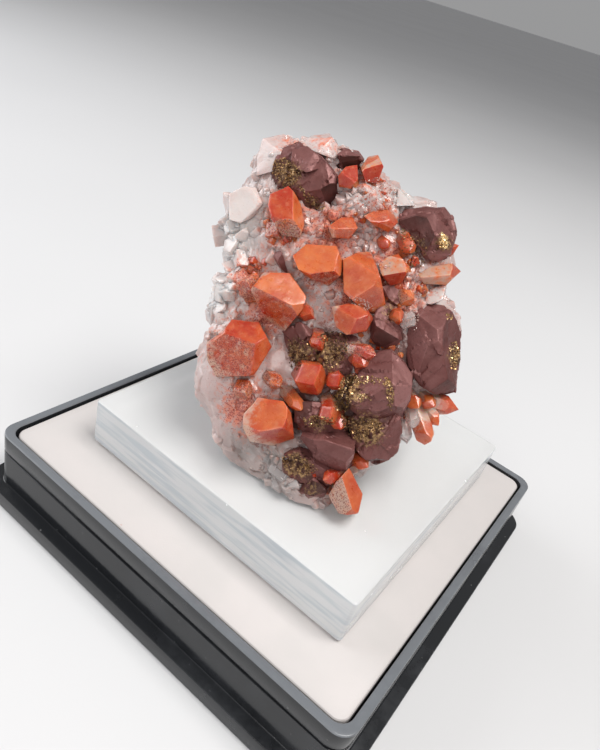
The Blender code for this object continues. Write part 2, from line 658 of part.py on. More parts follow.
def make_crystal(crystal: Crystal, grow: float, collection: bpy.types.Collection) -> bpy.types.Object:
    """Makes a large crystal: a column along the line of sight, cut by its front faces.

    Args:
        crystal: its row of a table.
        grow: how far every face moves outwards, for a cutter that leaves a gap.
        collection: where the object goes.

    Returns:
        The crystal, in picture plane millimetres.
    """
    shape = bmesh.new()
    corners = [shape.verts.new(sight(across, up, crystal.back)) for across, up in crystal.outline]
    back = shape.faces.new(corners)
    raised = bmesh.ops.extrude_face_region(shape, geom=[back])
    for vertex in [item for item in raised["geom"] if isinstance(item, bmesh.types.BMVert)]:
        vertex.co = along_sight(vertex.co, crystal.front)
    bmesh.ops.recalc_face_normals(shape, faces=shape.faces)
    for facet in crystal.facets:
        slice_off(shape, sight(facet.across, facet.up, facet.out), facing(facet.heading, facet.rise))
    bmesh.ops.recalc_face_normals(shape, faces=shape.faces)
    shape.normal_update()
    moves = [(vertex, vertex.normal * vertex.calc_shell_factor() * grow) for vertex in shape.verts]
    for vertex, move in moves:
        vertex.co += move
    return add_object("crystal", shape, collection)


def foot_cutter(collection: bpy.types.Collection) -> bpy.types.Object:
    """Makes the box that levels the specimen's foot, in picture plane millimetres."""
    shape = bmesh.new()
    bmesh.ops.create_cube(shape, size=1.0)
    bmesh.ops.scale(shape, verts=shape.verts, vec=FOOT_SLAB)
    bmesh.ops.translate(shape, verts=shape.verts, vec=(0, 0, FOOT_HEIGHT - FOOT_SLAB[2] / 2))
    shape.transform(Matrix.Scale(1 / MM, 4) @ face_to_world().inverted() @ Matrix.Scale(MM, 4))
    return add_object("foot_level", shape, collection)


def square_block(name: str, side: float, low: float, high: float, corner: float,
                 collection: bpy.types.Collection) -> bpy.types.Object:
    """Makes an upright square block with rounded corners, in millimetres over the base.

    Args:
        name: the object's name.
        side: length of its sides.
        low: height of its underside.
        high: height of its top.
        corner: radius of its upright edges, or 0 for sharp ones.
        collection: where it goes.

    Returns:
        The block.
    """
    shape = bmesh.new()
    bmesh.ops.create_cube(shape, size=1.0)
    bmesh.ops.scale(shape, verts=shape.verts, vec=(side, side, high - low))
    bmesh.ops.translate(shape, verts=shape.verts, vec=(0, 0, (low + high) / 2))
    if corner:
        upright = [e for e in shape.edges if abs(e.verts[0].co.z - e.verts[1].co.z) > (high - low) / 2]
        bmesh.ops.bevel(
            shape, geom=upright, offset=corner, offset_type="OFFSET", segments=CORNER_STEPS, profile=0.5,
            affect="EDGES", material=-1,
        )
    return add_object(name, shape, collection)


def soften(thing: bpy.types.Object, width: float) -> None:
    """Turns a block's mesh into metres and adds a small bevel to its sharp edges.

    Args:
        thing: a block in millimetres.
        width: the bevel's width, in millimetres.
    """
    thing.data.transform(Matrix.Scale(MM, 4))
    bevel = thing.modifiers.new("edge", "BEVEL")
    bevel.width = width * MM
    bevel.segments = 1
    bevel.limit_method = "ANGLE"
    bevel.angle_limit = math.radians(SHARP_ANGLE)


def make_tray(parts: bpy.types.Collection, cutters: bpy.types.Collection) -> bpy.types.Object:
    """Makes the square plastic tray with its flange and the recess for the liner."""
    tray = square_block("tray", TRAY_SIDE, 0.0, TRAY_HEIGHT, TRAY_CORNER, parts)
    flange = square_block("flange", FLANGE_SIDE, 0.0, FLANGE_HEIGHT, FLANGE_CORNER, cutters)
    boolean(tray, flange, "UNION")
    floor = LINER_TOP - LINER_THICKNESS - GAP
    opening = TRAY_HEIGHT + RECESS_CLEARANCE
    recess = square_block("recess", LINER_SIDE + 2 * GAP, floor, opening, RECESS_CORNER, cutters)
    boolean(tray, recess, "DIFFERENCE")
    soften(tray, TRAY_EDGE)
    return tray


def make_liner(parts: bpy.types.Collection) -> bpy.types.Object:
    """Makes the white pad that fills the tray to its rim."""
    liner = square_block("liner", LINER_SIDE, LINER_TOP - LINER_THICKNESS, LINER_TOP, LINER_CORNER, parts)
    soften(liner, LINER_EDGE)
    return liner


def make_clear_block(parts: bpy.types.Collection) -> bpy.types.Object:
    """Makes the square clear block that the specimen stands on."""
    block = square_block("clear_block", BLOCK_SIDE, LINER_TOP + GAP, BLOCK_TOP, 0.0, parts)
    block.location = (BLOCK_CENTRE[0] * MM, BLOCK_CENTRE[1] * MM, 0.0)
    soften(block, BLOCK_EDGE)
    return block


def bounds(thing: bpy.types.Object) -> tuple[np.ndarray, np.ndarray]:
    """Gives the lowest and highest corner of an object's mesh."""
    points = np.array([vertex.co[:] for vertex in thing.data.vertices])
    return points.min(axis=0), points.max(axis=0)


def near(one: bpy.types.Object, other: bpy.types.Object) -> bool:
    """Says whether the boxes around two objects overlap."""
    low, high = bounds(one)
    other_low, other_high = bounds(other)
    return bool((low < other_high).all() and (other_low < high).all())


def quartz_crystals(grow: float, collection: bpy.types.Collection) -> list[bpy.types.Object]:
    """Makes every quartz crystal, large and small, as loose objects.

    Args:
        grow: how far their faces move outwards.
        collection: where they go.

    Returns:
        The crystals.
    """
    large = [make_crystal(crystal, grow, collection) for crystal in LARGE_QUARTZ]
    return large + [make_prism(prism, grow, collection) for prism in SMALL_QUARTZ]


def make_quartz(parts: bpy.types.Collection, cutters: bpy.types.Collection) -> bpy.types.Object:
    """Makes the quartz: the matrix with a socket for each dark crystal, and every quartz crystal."""
    quartz = make_matrix(parts)
    for group in CHALCOPYRITE.values():
        for crystal in group:
            boolean(quartz, make_crystal(crystal, GAP, cutters), "DIFFERENCE")
    for crystal in quartz_crystals(0.0, cutters):
        boolean(quartz, crystal, "UNION")
    return quartz


def make_chalcopyrite(name: str, parts: bpy.types.Collection,
                      cutters: bpy.types.Collection) -> bpy.types.Object:
    """Makes one piece of chalcopyrite, with room for the quartz crystals that grow through it.

    Args:
        name: a key of CHALCOPYRITE.
        parts: where the piece goes.
        cutters: where the shapes that cut it go.

    Returns:
        The piece.
    """
    first, *others = CHALCOPYRITE[name]
    piece = make_crystal(first, 0.0, parts)
    piece.name = name
    for crystal in others:
        boolean(piece, make_crystal(crystal, 0.0, cutters), "UNION")
    for room in quartz_crystals(GAP, cutters):
        if near(piece, room):
            boolean(piece, room, "DIFFERENCE")
        else:
            bpy.data.objects.remove(room, do_unlink=True)
    return piece


def main() -> None:
    """Builds the display base and the specimen."""
    clear_scene()
    parts = new_collection("red_quartz_with_chalcopyrite")
    cutters = new_collection("cutters")
    base = [make_tray(parts, cutters), make_liner(parts), make_clear_block(parts)]
    specimen = [make_quartz(parts, cutters)]
    specimen += [make_chalcopyrite(name, parts, cutters) for name in CHALCOPYRITE]
    for thing in base:
        thing.data.materials.append(make_material(thing.name))
    quartz_material = make_material("quartz")
    dark_material = make_material("chalcopyrite")
    for thing in specimen:
        boolean(thing, foot_cutter(cutters), "DIFFERENCE")
        thing.data.transform(Matrix.Scale(MM, 4))
        thing.matrix_world = face_to_world()
        thing.data.materials.append(quartz_material if thing.name == "quartz" else dark_material)


if __name__ == "__main__":
    main()
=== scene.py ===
"""Red quartz with chalcopyrite on a clear block in its display tray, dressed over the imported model.

The specimen is laid out on a picture plane in millimetres, (across, up, out), as in the part's own
source, and every finished mesh is moved into the frame's metres before it becomes a piece.
"""

import logging
import math
import random
from dataclasses import dataclass, field, replace
from enum import Enum

import bmesh
import bpy
import numpy as np
from mathutils import Matrix, Vector, noise
from mathutils.bvhtree import BVHTree
from mathutils.geometry import intersect_point_tri_2d
from mathutils.kdtree import KDTree


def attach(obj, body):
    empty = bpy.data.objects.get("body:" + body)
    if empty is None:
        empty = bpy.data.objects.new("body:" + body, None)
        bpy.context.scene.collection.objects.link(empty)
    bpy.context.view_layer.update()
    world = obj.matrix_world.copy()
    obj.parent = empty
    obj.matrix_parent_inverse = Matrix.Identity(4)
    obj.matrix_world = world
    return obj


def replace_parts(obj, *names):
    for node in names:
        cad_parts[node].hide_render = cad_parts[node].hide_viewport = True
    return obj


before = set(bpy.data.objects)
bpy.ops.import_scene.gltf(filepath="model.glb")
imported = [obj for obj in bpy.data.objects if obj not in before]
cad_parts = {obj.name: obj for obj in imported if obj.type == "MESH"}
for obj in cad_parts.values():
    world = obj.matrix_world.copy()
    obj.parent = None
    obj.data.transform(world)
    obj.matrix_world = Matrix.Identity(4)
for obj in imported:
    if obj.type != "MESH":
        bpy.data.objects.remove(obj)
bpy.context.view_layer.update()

log = logging.getLogger("specimen")

MM = 0.001  # a millimetre in the frame's metres
BODY = "root"
FOOT_HEIGHT = 16.05  # the level that the specimen stands on, in millimetres
DOWN = Vector((-0.25189, -0.80716, -0.53390))  # the frame's down, on the picture plane
WELD = 0.01  # points closer than this are one, in millimetres
QUARTZ_IOR = 1.544
BROKEN_ANGLE = 24.0  # edges of broken stone sharper than this stay sharp, in degrees
SOCKET_ROOM = 0.6  # how far the matrix stays under a chalcopyrite face, in millimetres
LOWEST_POINT = 0.0195  # no point is scattered lower than this, in metres
BACK_POINTS = 150

Colour = tuple[float, float, float]
Outline = tuple[tuple[float, float], ...]


class Slot(Enum):
    """The record's material slots."""

    TRAY = "tray_plastic"
    LINER = "liner_foam"
    BLOCK = "clear_acrylic"
    QUARTZ = "quartz"
    CHALCOPYRITE = "chalcopyrite"


class PicturePlane:
    """The plane that the crystal face of the specimen lies on, with the viewer's eye over it."""

    origin = Vector((1.02, -4.40, 33.0))
    yaw = 27.47
    pitch = 57.73
    roll = 17.33
    eye = Vector((-3.3, -5.5, 70.0))

    @classmethod
    def to_frame(cls) -> Matrix:
        """Gives the matrix from picture plane millimetres to the frame's metres."""
        yaw = Matrix.Rotation(math.radians(cls.yaw), 4, "Z")
        pitch = Matrix.Rotation(math.radians(cls.pitch), 4, "X")
        roll = Matrix.Rotation(math.radians(cls.roll), 4, "Z")
        return Matrix.Scale(MM, 4) @ Matrix.Translation(cls.origin) @ yaw @ pitch @ roll

    @classmethod
    def sight(cls, across: float, up: float, out: float) -> Vector:
        """Slides a point of the plane along the line of sight.

        Args:
            across: millimetres to the right on the plane.
            up: millimetres up on the plane.
            out: depth towards the viewer.

        Returns:
            The point at that depth that the viewer sees in the same place.
        """
        shrink = (cls.eye.z - out) / cls.eye.z
        return Vector((
            cls.eye.x + (across - cls.eye.x) * shrink,
            cls.eye.y + (up - cls.eye.y) * shrink,
            out,
        ))

    @classmethod
    def along_sight(cls, point: Vector, out: float) -> Vector:
        """Moves a point along the line of sight to another depth."""
        return cls.eye + (point - cls.eye) * (cls.eye.z - out) / (cls.eye.z - point.z)

    @classmethod
    def seen(cls, point: Vector) -> tuple[float, float]:
        """Gives the place on the plane where the viewer sees a point."""
        grown = cls.eye.z / max(1.0, cls.eye.z - point.z)
        return (
            cls.eye.x + (point.x - cls.eye.x) * grown,
            cls.eye.y + (point.y - cls.eye.y) * grown,
        )

    @classmethod
    def foot(cls) -> tuple[Vector, Vector]:
        """Gives a point of the level that the specimen stands on, and the way down."""
        return DOWN * (cls.origin.z - FOOT_HEIGHT), DOWN

    @staticmethod
    def facing(heading: float, rise: float) -> Vector:
        """Gives the unit direction with a heading on the plane and a rise out of it, in degrees."""
        flat = math.cos(math.radians(rise))
        return Vector((
            flat * math.cos(math.radians(heading)),
            flat * math.sin(math.radians(heading)),
            math.sin(math.radians(rise)),
        ))


# Mesh helpers


def slice_off(shape: bmesh.types.BMesh, point: Vector, outside: Vector) -> list[bmesh.types.BMFace]:
    """Cuts away what lies outside a plane and closes the cut.

    Args:
        shape: the closed mesh that is cut.
        point: a point on the plane.
        outside: the plane's normal, towards the side that goes.

    Returns:
        The faces that close the cut.
    """
    every = shape.verts[:] + shape.edges[:] + shape.faces[:]
    cut = bmesh.ops.bisect_plane(
        shape, geom=every, plane_co=point, plane_no=outside, clear_outer=True, dist=1e-5
    )
    rim = [item for item in cut["geom_cut"] if isinstance(item, bmesh.types.BMEdge)]
    return bmesh.ops.holes_fill(shape, edges=rim, sides=0)["faces"] if rim else []


def soften_edges(shape: bmesh.types.BMesh, edges: list[bmesh.types.BMEdge], width: float,
                 steps: int) -> None:
    """Rounds edges of a closed shape.

    Args:
        shape: the closed mesh.
        edges: the edges that are rounded.
        width: how wide the rounding is.
        steps: its number of segments.
    """
    bmesh.ops.bevel(
        shape, geom=edges, offset=width, offset_type="OFFSET", segments=steps, profile=0.5,
        affect="EDGES", material=-1, clamp_overlap=True,
    )


def refine(shape: bmesh.types.BMesh, longest: float, rounds: int = 7) -> None:
    """Splits edges until none is longer than a length.

    Args:
        shape: the mesh.
        longest: the longest edge that stays.
        rounds: the most times that the edges are halved.
    """
    bmesh.ops.triangulate(shape, faces=shape.faces[:])
    for _ in range(rounds):
        long = [edge for edge in shape.edges if edge.calc_length() > longest]
        if not long:
            return
        bmesh.ops.subdivide_edges(shape, edges=long, cuts=1, use_grid_fill=False)
        bmesh.ops.triangulate(shape, faces=[face for face in shape.faces if len(face.verts) > 3])


def new_piece(name: str, shape: bmesh.types.BMesh, material: bpy.types.Material, slot: Slot,
              smooth_angle: float = 30.0) -> bpy.types.Object:
    """Turns a mesh in the frame's metres into a piece that rides on the part's only body.

    Args:
        name: the piece's name.
        shape: its mesh, which is freed.
        material: its finish.
        slot: the record's slot that the finish belongs to; not used.
        smooth_angle: edges sharper than this stay sharp, in degrees.

    Returns:
        The piece.
    """
    bmesh.ops.recalc_face_normals(shape, faces=shape.faces)
    mesh = bpy.data.meshes.new(name)
    shape.to_mesh(mesh)
    shape.free()
    mesh.shade_smooth()
    mesh.set_sharp_from_angle(angle=math.radians(smooth_angle))
    mesh.materials.append(material)
    piece = bpy.data.objects.new(name, mesh)
    bpy.context.scene.collection.objects.link(piece)
    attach(piece, BODY)
    log.info("%s: %d faces", name, len(mesh.polygons))
    return piece


def places(shape: bmesh.types.BMesh) -> np.ndarray:
    """Gives where a mesh's points are, one row each."""
    return np.array([vertex.co[:] for vertex in shape.verts])


def facings(shape: bmesh.types.BMesh) -> np.ndarray:
    """Gives the normals of a mesh's points, one row each."""
    shape.normal_update()
    return np.array([vertex.normal[:] for vertex in shape.verts])


def move_to(shape: bmesh.types.BMesh, points: np.ndarray) -> None:
    """Moves a mesh's points to new places, one row each."""
    for vertex, point in zip(shape.verts, points):
        vertex.co = point


def joined(shapes: list[bmesh.types.BMesh], keep: bool = False) -> bmesh.types.BMesh:
    """Puts several meshes into one, and frees them if they aren't kept."""
    whole = bmesh.new()
    carrier = bpy.data.meshes.new("carrier")
    for shape in shapes:
        shape.to_mesh(carrier)
        if not keep:
            shape.free()
        whole.from_mesh(carrier)
    bpy.data.meshes.remove(carrier)
    return whole


def inside(outline: Outline, across: float, up: float) -> bool:
    """Says whether a point lies in an outline, by fans of triangles from its first corner."""
    point = Vector((across, up))
    first = Vector(outline[0])
    crossings = sum(
        1 for one, two in zip(outline[1:], outline[2:])
        if intersect_point_tri_2d(point, first, Vector(one), Vector(two))
    )
    return crossings % 2 == 1


# Node helpers and shared effects


class NodeMaker:
    """Adds linked nodes to a material's tree or to a node group."""

    def __init__(self, tree: bpy.types.NodeTree) -> None:
        """Keeps the tree that the nodes go to."""
        self.tree = tree

    def add(self, kind: str, inputs: dict | None = None, **settings: object) -> bpy.types.Node:
        """Adds a node.

        Args:
            kind: the node's type.
            inputs: values or sockets for its inputs, by name or number.
            settings: its own properties.

        Returns:
            The node.
        """
        node = self.tree.nodes.new(kind)
        for name, value in settings.items():
            setattr(node, name, value)
        self.feed(node, inputs or {})
        return node

    def feed(self, node: bpy.types.Node, inputs: dict) -> None:
        """Links sockets to a node's inputs, or sets their values."""
        for name, value in inputs.items():
            if isinstance(value, bpy.types.NodeSocket):
                self.tree.links.new(value, node.inputs[name])
            else:
                node.inputs[name].default_value = value

    def maths(self, operation: str, one: object, two: object = 0.0,
              clamp: bool = False) -> bpy.types.NodeSocket:
        """Adds a Math node and gives its result."""
        node = self.add("ShaderNodeMath", {0: one, 1: two}, operation=operation, use_clamp=clamp)
        return node.outputs[0]

    def times(self, one: object, two: object) -> bpy.types.NodeSocket:
        """Multiplies two numbers."""
        return self.maths("MULTIPLY", one, two)

    def plus(self, one: object, two: object, clamp: bool = False) -> bpy.types.NodeSocket:
        """Adds two numbers."""
        return self.maths("ADD", one, two, clamp)

    def mix(self, share: object, one: object, two: object) -> bpy.types.NodeSocket:
        """Mixes two colours by a share and gives the result."""
        values = {0: share, 6: opaque(one), 7: opaque(two)}
        return self.add("ShaderNodeMix", values, data_type="RGBA").outputs[2]

    def spread(self, value: object, low: float, high: float, to_low: float = 0.0,
               to_high: float = 1.0) -> bpy.types.NodeSocket:
        """Maps a range of a value onto another, held at its ends."""
        values = {0: value, 1: low, 2: high, 3: to_low, 4: to_high}
        return self.add("ShaderNodeMapRange", values).outputs[0]

    def attribute(self, name: str) -> bpy.types.NodeSocket:
        """Reads a number that the mesh carries."""
        return self.add("ShaderNodeAttribute", attribute_name=name).outputs["Fac"]

    def clouds(self, place: object, scale: float, detail: float = 3.0,
               rough: float = 0.5) -> bpy.types.NodeSocket:
        """Adds noise over a place, with its scale per millimetre."""
        values = {"Vector": place, "Scale": scale, "Detail": detail, "Roughness": rough}
        return self.add("ShaderNodeTexNoise", values).outputs[0]

    def group(self, tree: bpy.types.NodeTree, **inputs: object) -> bpy.types.NodeSocket:
        """Places a node group with its values and gives its result."""
        return self.add("ShaderNodeGroup", inputs, node_tree=tree).outputs[0]

    def bump(self, height: object, strength: object, distance: float) -> bpy.types.NodeSocket:
        """Gives the normal of a height, with the bump's distance in millimetres."""
        values = {"Strength": strength, "Distance": distance * MM, "Height": height}
        return self.add("ShaderNodeBump", values).outputs[0]

    def millimetres(self) -> bpy.types.NodeSocket:
        """Gives the place on the object in millimetres."""
        place = self.add("ShaderNodeTexCoord").outputs["Object"]
        return self.add("ShaderNodeMapping", {"Vector": place, "Scale": (1 / MM,) * 3}).outputs[0]


def opaque(colour: object) -> object:
    """Gives a colour its fourth number, and leaves a socket alone."""
    return (*colour, 1.0) if isinstance(colour, tuple) and len(colour) == 3 else colour


def new_group(name: str, inputs: dict[str, str], outputs: dict[str, str]) -> NodeMaker:
    """Starts a shader node group.

    Args:
        name: the group's name.
        inputs: kinds of its inputs, by name.
        outputs: kinds of its outputs, by name.

    Returns:
        A maker for its nodes.
    """
    tree = bpy.data.node_groups.new(name, "ShaderNodeTree")
    for label, kind in inputs.items():
        tree.interface.new_socket(label, in_out="INPUT", socket_type=kind)
    for label, kind in outputs.items():
        tree.interface.new_socket(label, in_out="OUTPUT", socket_type=kind)
    return NodeMaker(tree)


def speck_group() -> bpy.types.NodeTree:
    """Makes the group of iron oxide specks: small dark dots, denser where Amount is high."""
    make = new_group(
        "hematite_specks",
        {"Place": "NodeSocketVector", "Amount": "NodeSocketFloat", "Scale": "NodeSocketFloat"},
        {"Mask": "NodeSocketFloat"},
    )
    start = make.add("NodeGroupInput")
    place = start.outputs["Place"]
    bend = make.add("ShaderNodeTexNoise", {"Vector": place, "Scale": 3.0, "Detail": 2.0})
    bend_by = {0: bend.outputs["Color"], 1: (0.35,) * 3}
    shift = make.add("ShaderNodeVectorMath", bend_by, operation="MULTIPLY")
    bent = make.add("ShaderNodeVectorMath", {0: place, 1: shift.outputs[0]}, operation="ADD")
    dots = make.add("ShaderNodeTexVoronoi", {
        "Vector": bent.outputs[0], "Scale": start.outputs["Scale"], "Randomness": 1.0,
    })
    chance = make.add("ShaderNodeSeparateColor", {0: dots.outputs["Color"]}).outputs[0]
    reach = make.maths("MULTIPLY", start.outputs["Amount"], 0.62)
    near = make.maths("LESS_THAN", dots.outputs["Distance"], reach)
    some = make.maths("LESS_THAN", chance, make.maths("ADD", start.outputs["Amount"], 0.25))
    mask = make.maths("MULTIPLY", near, some)
    make.add("NodeGroupOutput", {"Mask": mask})
    return make.tree


def grain_group() -> bpy.types.NodeTree:
    """Makes the group of fine surface grain, for bumps and roughness."""
    make = new_group(
        "fine_grain",
        {"Place": "NodeSocketVector", "Scale": "NodeSocketFloat", "Coarse": "NodeSocketFloat"},
        {"Height": "NodeSocketFloat"},
    )
    start = make.add("NodeGroupInput")
    fine = make.add("ShaderNodeTexNoise", {
        "Vector": start.outputs["Place"], "Scale": start.outputs["Scale"], "Detail": 4.0,
        "Roughness": 0.6,
    }).outputs[0]
    wide_scale = make.maths("MULTIPLY", start.outputs["Scale"], 0.22)
    wide = make.add("ShaderNodeTexNoise", {
        "Vector": start.outputs["Place"], "Scale": wide_scale, "Detail": 2.0,
    }).outputs[0]
    height = make.maths("ADD", fine, make.maths("MULTIPLY", wide, start.outputs["Coarse"]))
    make.add("NodeGroupOutput", {"Height": height})
    return make.tree


def growth_group() -> bpy.types.NodeTree:
    """Makes the group of growth lines: fine steps across a crystal face, along its own map."""
    make = new_group("growth_lines", {"Scale": "NodeSocketFloat"}, {"Height": "NodeSocketFloat"})
    start = make.add("NodeGroupInput")
    place = make.add("ShaderNodeUVMap", uv_map="growth").outputs[0]
    drawn = make.add("ShaderNodeMapping", {"Vector": place, "Scale": (0.22, 1.6, 1.0)}).outputs[0]
    lines = make.add("ShaderNodeTexNoise", {
        "Vector": drawn, "Scale": start.outputs["Scale"], "Detail": 3.0, "Roughness": 0.55,
    }).outputs[0]
    make.add("NodeGroupOutput", {"Height": lines})
    return make.tree


@dataclass(frozen=True)
class Effects:
    """The node groups that several finishes share."""

    specks: bpy.types.NodeTree
    grain: bpy.types.NodeTree
    growth: bpy.types.NodeTree

    @classmethod
    def make(cls) -> "Effects":
        """Makes each group once."""
        return cls(speck_group(), grain_group(), growth_group())


def new_material(name: str) -> tuple[bpy.types.Material, NodeMaker, bpy.types.Node]:
    """Starts a material.

    Args:
        name: its name.

    Returns:
        The material, a maker for its nodes, and its shader.
    """
    material = bpy.data.materials.new(name)
    material.use_nodes = True
    return material, NodeMaker(material.node_tree), material.node_tree.nodes["Principled BSDF"]


# Finishes


@dataclass(frozen=True)
class RedQuartzFinish:
    """Orange red quartz: glassy, pale to deep by each face's number, which holds painted facet shade
    as well as its own colour, milky and speckled at its base, with painted glints.
    """

    pale: Colour = (0.57, 0.150, 0.040)
    deep: Colour = (0.37, 0.025, 0.005)
    milky: Colour = (0.47, 0.295, 0.225)
    speck: Colour = (0.17, 0.014, 0.010)
    # colour of the painted glints
    bright: Colour = (0.66, 0.40, 0.32)
    veil: Colour = (0.58, 0.235, 0.125)
    depth: float = 1.5
    roughness: float = 0.24

    def make(self, effects: Effects) -> bpy.types.Material:
        """Makes the material, which reads the mesh's depth of colour with painted facet shade,
        speckle and growth map.
        """
        material, make, shader = new_material("red_quartz")
        place = make.millimetres()
        tint = make.attribute("tint")
        speckle = make.attribute("speckle")
        milk = make.maths("MAXIMUM", make.attribute("milk"), make.times(tint, -1.0))
        cloud = make.clouds(place, 0.55)
        # pale to deep by the face's number: its own depth of colour and painted facet shade
        toned = make.plus(tint, make.spread(cloud, 0.3, 0.7, -0.34, 0.34), clamp=True)
        colour = make.mix(toned, self.pale, self.deep)
        veils = make.spread(make.clouds(place, 2.1, 5.0, 0.6), 0.5, 0.72, 0.0, 0.38)
        colour = make.mix(veils, colour, self.veil)
        blotches = make.clouds(place, 1.5, 4.0, 0.65)
        open_share = make.plus(blotches, make.times(speckle, 0.3))
        open_share = make.plus(open_share, make.times(milk, 0.5))
        open_share = make.spread(open_share, 0.72, 0.98)
        colour = make.mix(open_share, colour, self.milky)
        # painted glints: small pale dots that stand in for sparkles of light where the base is
        # speckled
        share = make.times(speckle, 0.45)
        painted_glints = make.group(effects.specks, Place=place, Amount=share, Scale=8.0)
        colour = make.mix(painted_glints, colour, self.bright)
        specks = make.group(effects.specks, Place=place, Amount=make.times(speckle, 0.8), Scale=6.4)
        colour = make.mix(make.times(specks, 0.85), colour, self.speck)
        lines = make.group(effects.growth, Scale=2.6)
        grain = make.group(effects.grain, Place=place, Scale=2.4, Coarse=1.2)
        height = make.plus(lines, make.times(grain, 0.5))
        normal = make.bump(height, 0.55, 0.05)
        rough = make.spread(blotches, 0.3, 0.7, self.roughness, self.roughness + 0.16)
        make.feed(shader, {
            "Base Color": colour,
            "Roughness": rough,
            "Normal": normal,
            "IOR": QUARTZ_IOR,
            "Subsurface Weight": 0.55,
            "Subsurface Radius": (1.0, 0.28, 0.12),
            "Subsurface Scale": self.depth * MM,
            "Coat Weight": 0.4,
            "Coat Roughness": 0.06,
        })
        return material


@dataclass(frozen=True)
class MilkyQuartzFinish:
    """Milky quartz: pinkish grey, white, grey or rosy by what the mesh carries, with red specks and
    painted shade in the gaps between crystals.
    """

    base: Colour = (0.50, 0.37, 0.35)
    white: Colour = (0.60, 0.54, 0.52)
    grey: Colour = (0.27, 0.23, 0.215)
    rosy: Colour = (0.62, 0.20, 0.125)
    speck: Colour = (0.30, 0.035, 0.025)
    # colour of the painted shade
    painted_shade_colour: Colour = (0.115, 0.036, 0.028)

    def make(self, effects: Effects) -> bpy.types.Material:
        """Makes the material, which reads the mesh's white, grey, rosy and painted shade numbers."""
        material, make, shader = new_material("milky_quartz")
        place = make.millimetres()
        cloud = make.clouds(place, 0.35)
        fine = make.clouds(place, 1.6, 4.0, 0.6)
        uneven = make.spread(cloud, 0.3, 0.75, -0.15, 0.3)
        white = make.plus(make.attribute("white"), uneven, clamp=True)
        colour = make.mix(white, self.base, self.white)
        grey = make.times(make.attribute("grey"), make.spread(cloud, 0.25, 0.6, 1.0, 0.6))
        colour = make.mix(grey, colour, self.grey)
        rosy = make.attribute("rosy")
        stained = make.spread(make.plus(fine, make.times(rosy, 0.3)), 0.58, 0.78)
        stained = make.times(stained, make.spread(rosy, 0.0, 0.35))
        colour = make.mix(stained, colour, self.rosy)
        amount = make.spread(rosy, 0.0, 1.0, 0.16, 0.8)
        specks = make.group(effects.specks, Place=place, Amount=amount, Scale=4.4)
        there = make.times(specks, make.spread(rosy, 0.0, 0.4, 0.45, 1.0))
        colour = make.mix(make.times(there, 0.8), colour, self.speck)
        # painted shade: darker in the gaps between crystals
        painted_shade = make.plus(make.attribute("painted_shade"), make.spread(fine, 0.35, 0.65, -0.35, 0.25))
        painted_shade = make.times(make.spread(painted_shade, 0.35, 0.75), 0.92)
        colour = make.mix(painted_shade, colour, self.painted_shade_colour)
        grain = make.group(effects.grain, Place=place, Scale=2.2, Coarse=1.6)
        normal = make.bump(grain, 0.6, 0.1)
        rough = make.spread(fine, 0.3, 0.7, 0.26, 0.46)
        make.feed(shader, {
            "Base Color": colour,
            "Roughness": rough,
            "Normal": normal,
            "IOR": QUARTZ_IOR,
            "Subsurface Weight": 0.6,
            "Subsurface Radius": (1.0, 0.72, 0.62),
            "Subsurface Scale": 1.3 * MM,
            "Coat Weight": 0.55,
            "Coat Roughness": 0.09,
        })
        return material


@dataclass(frozen=True)
class ClearQuartzFinish:
    """Clear quartz with a rosy tinge: see-through, with faint clouds inside."""

    tinge: Colour = (0.93, 0.62, 0.54)
    clear: Colour = (0.97, 0.93, 0.92)

    def make(self, effects: Effects) -> bpy.types.Material:
        """Makes the material, which reads the mesh's rosy tinge with painted facet shade in it, and
        its growth map.
        """
        material, make, shader = new_material("clear_quartz")
        place = make.millimetres()
        tint = make.attribute("tint")
        cloud = make.spread(make.clouds(place, 1.1), 0.35, 0.7)
        share = make.times(tint, make.spread(cloud, 0.0, 1.0, 0.7, 1.0))
        colour = make.mix(share, self.clear, self.tinge)
        lines = make.group(effects.growth, Scale=2.6)
        normal = make.bump(lines, 0.4, 0.04)
        make.feed(shader, {
            "Base Color": colour,
            "Roughness": make.spread(cloud, 0.0, 1.0, 0.06, 0.3),
            "Normal": normal,
            "IOR": QUARTZ_IOR,
            "Transmission Weight": 0.72,
        })
        return material


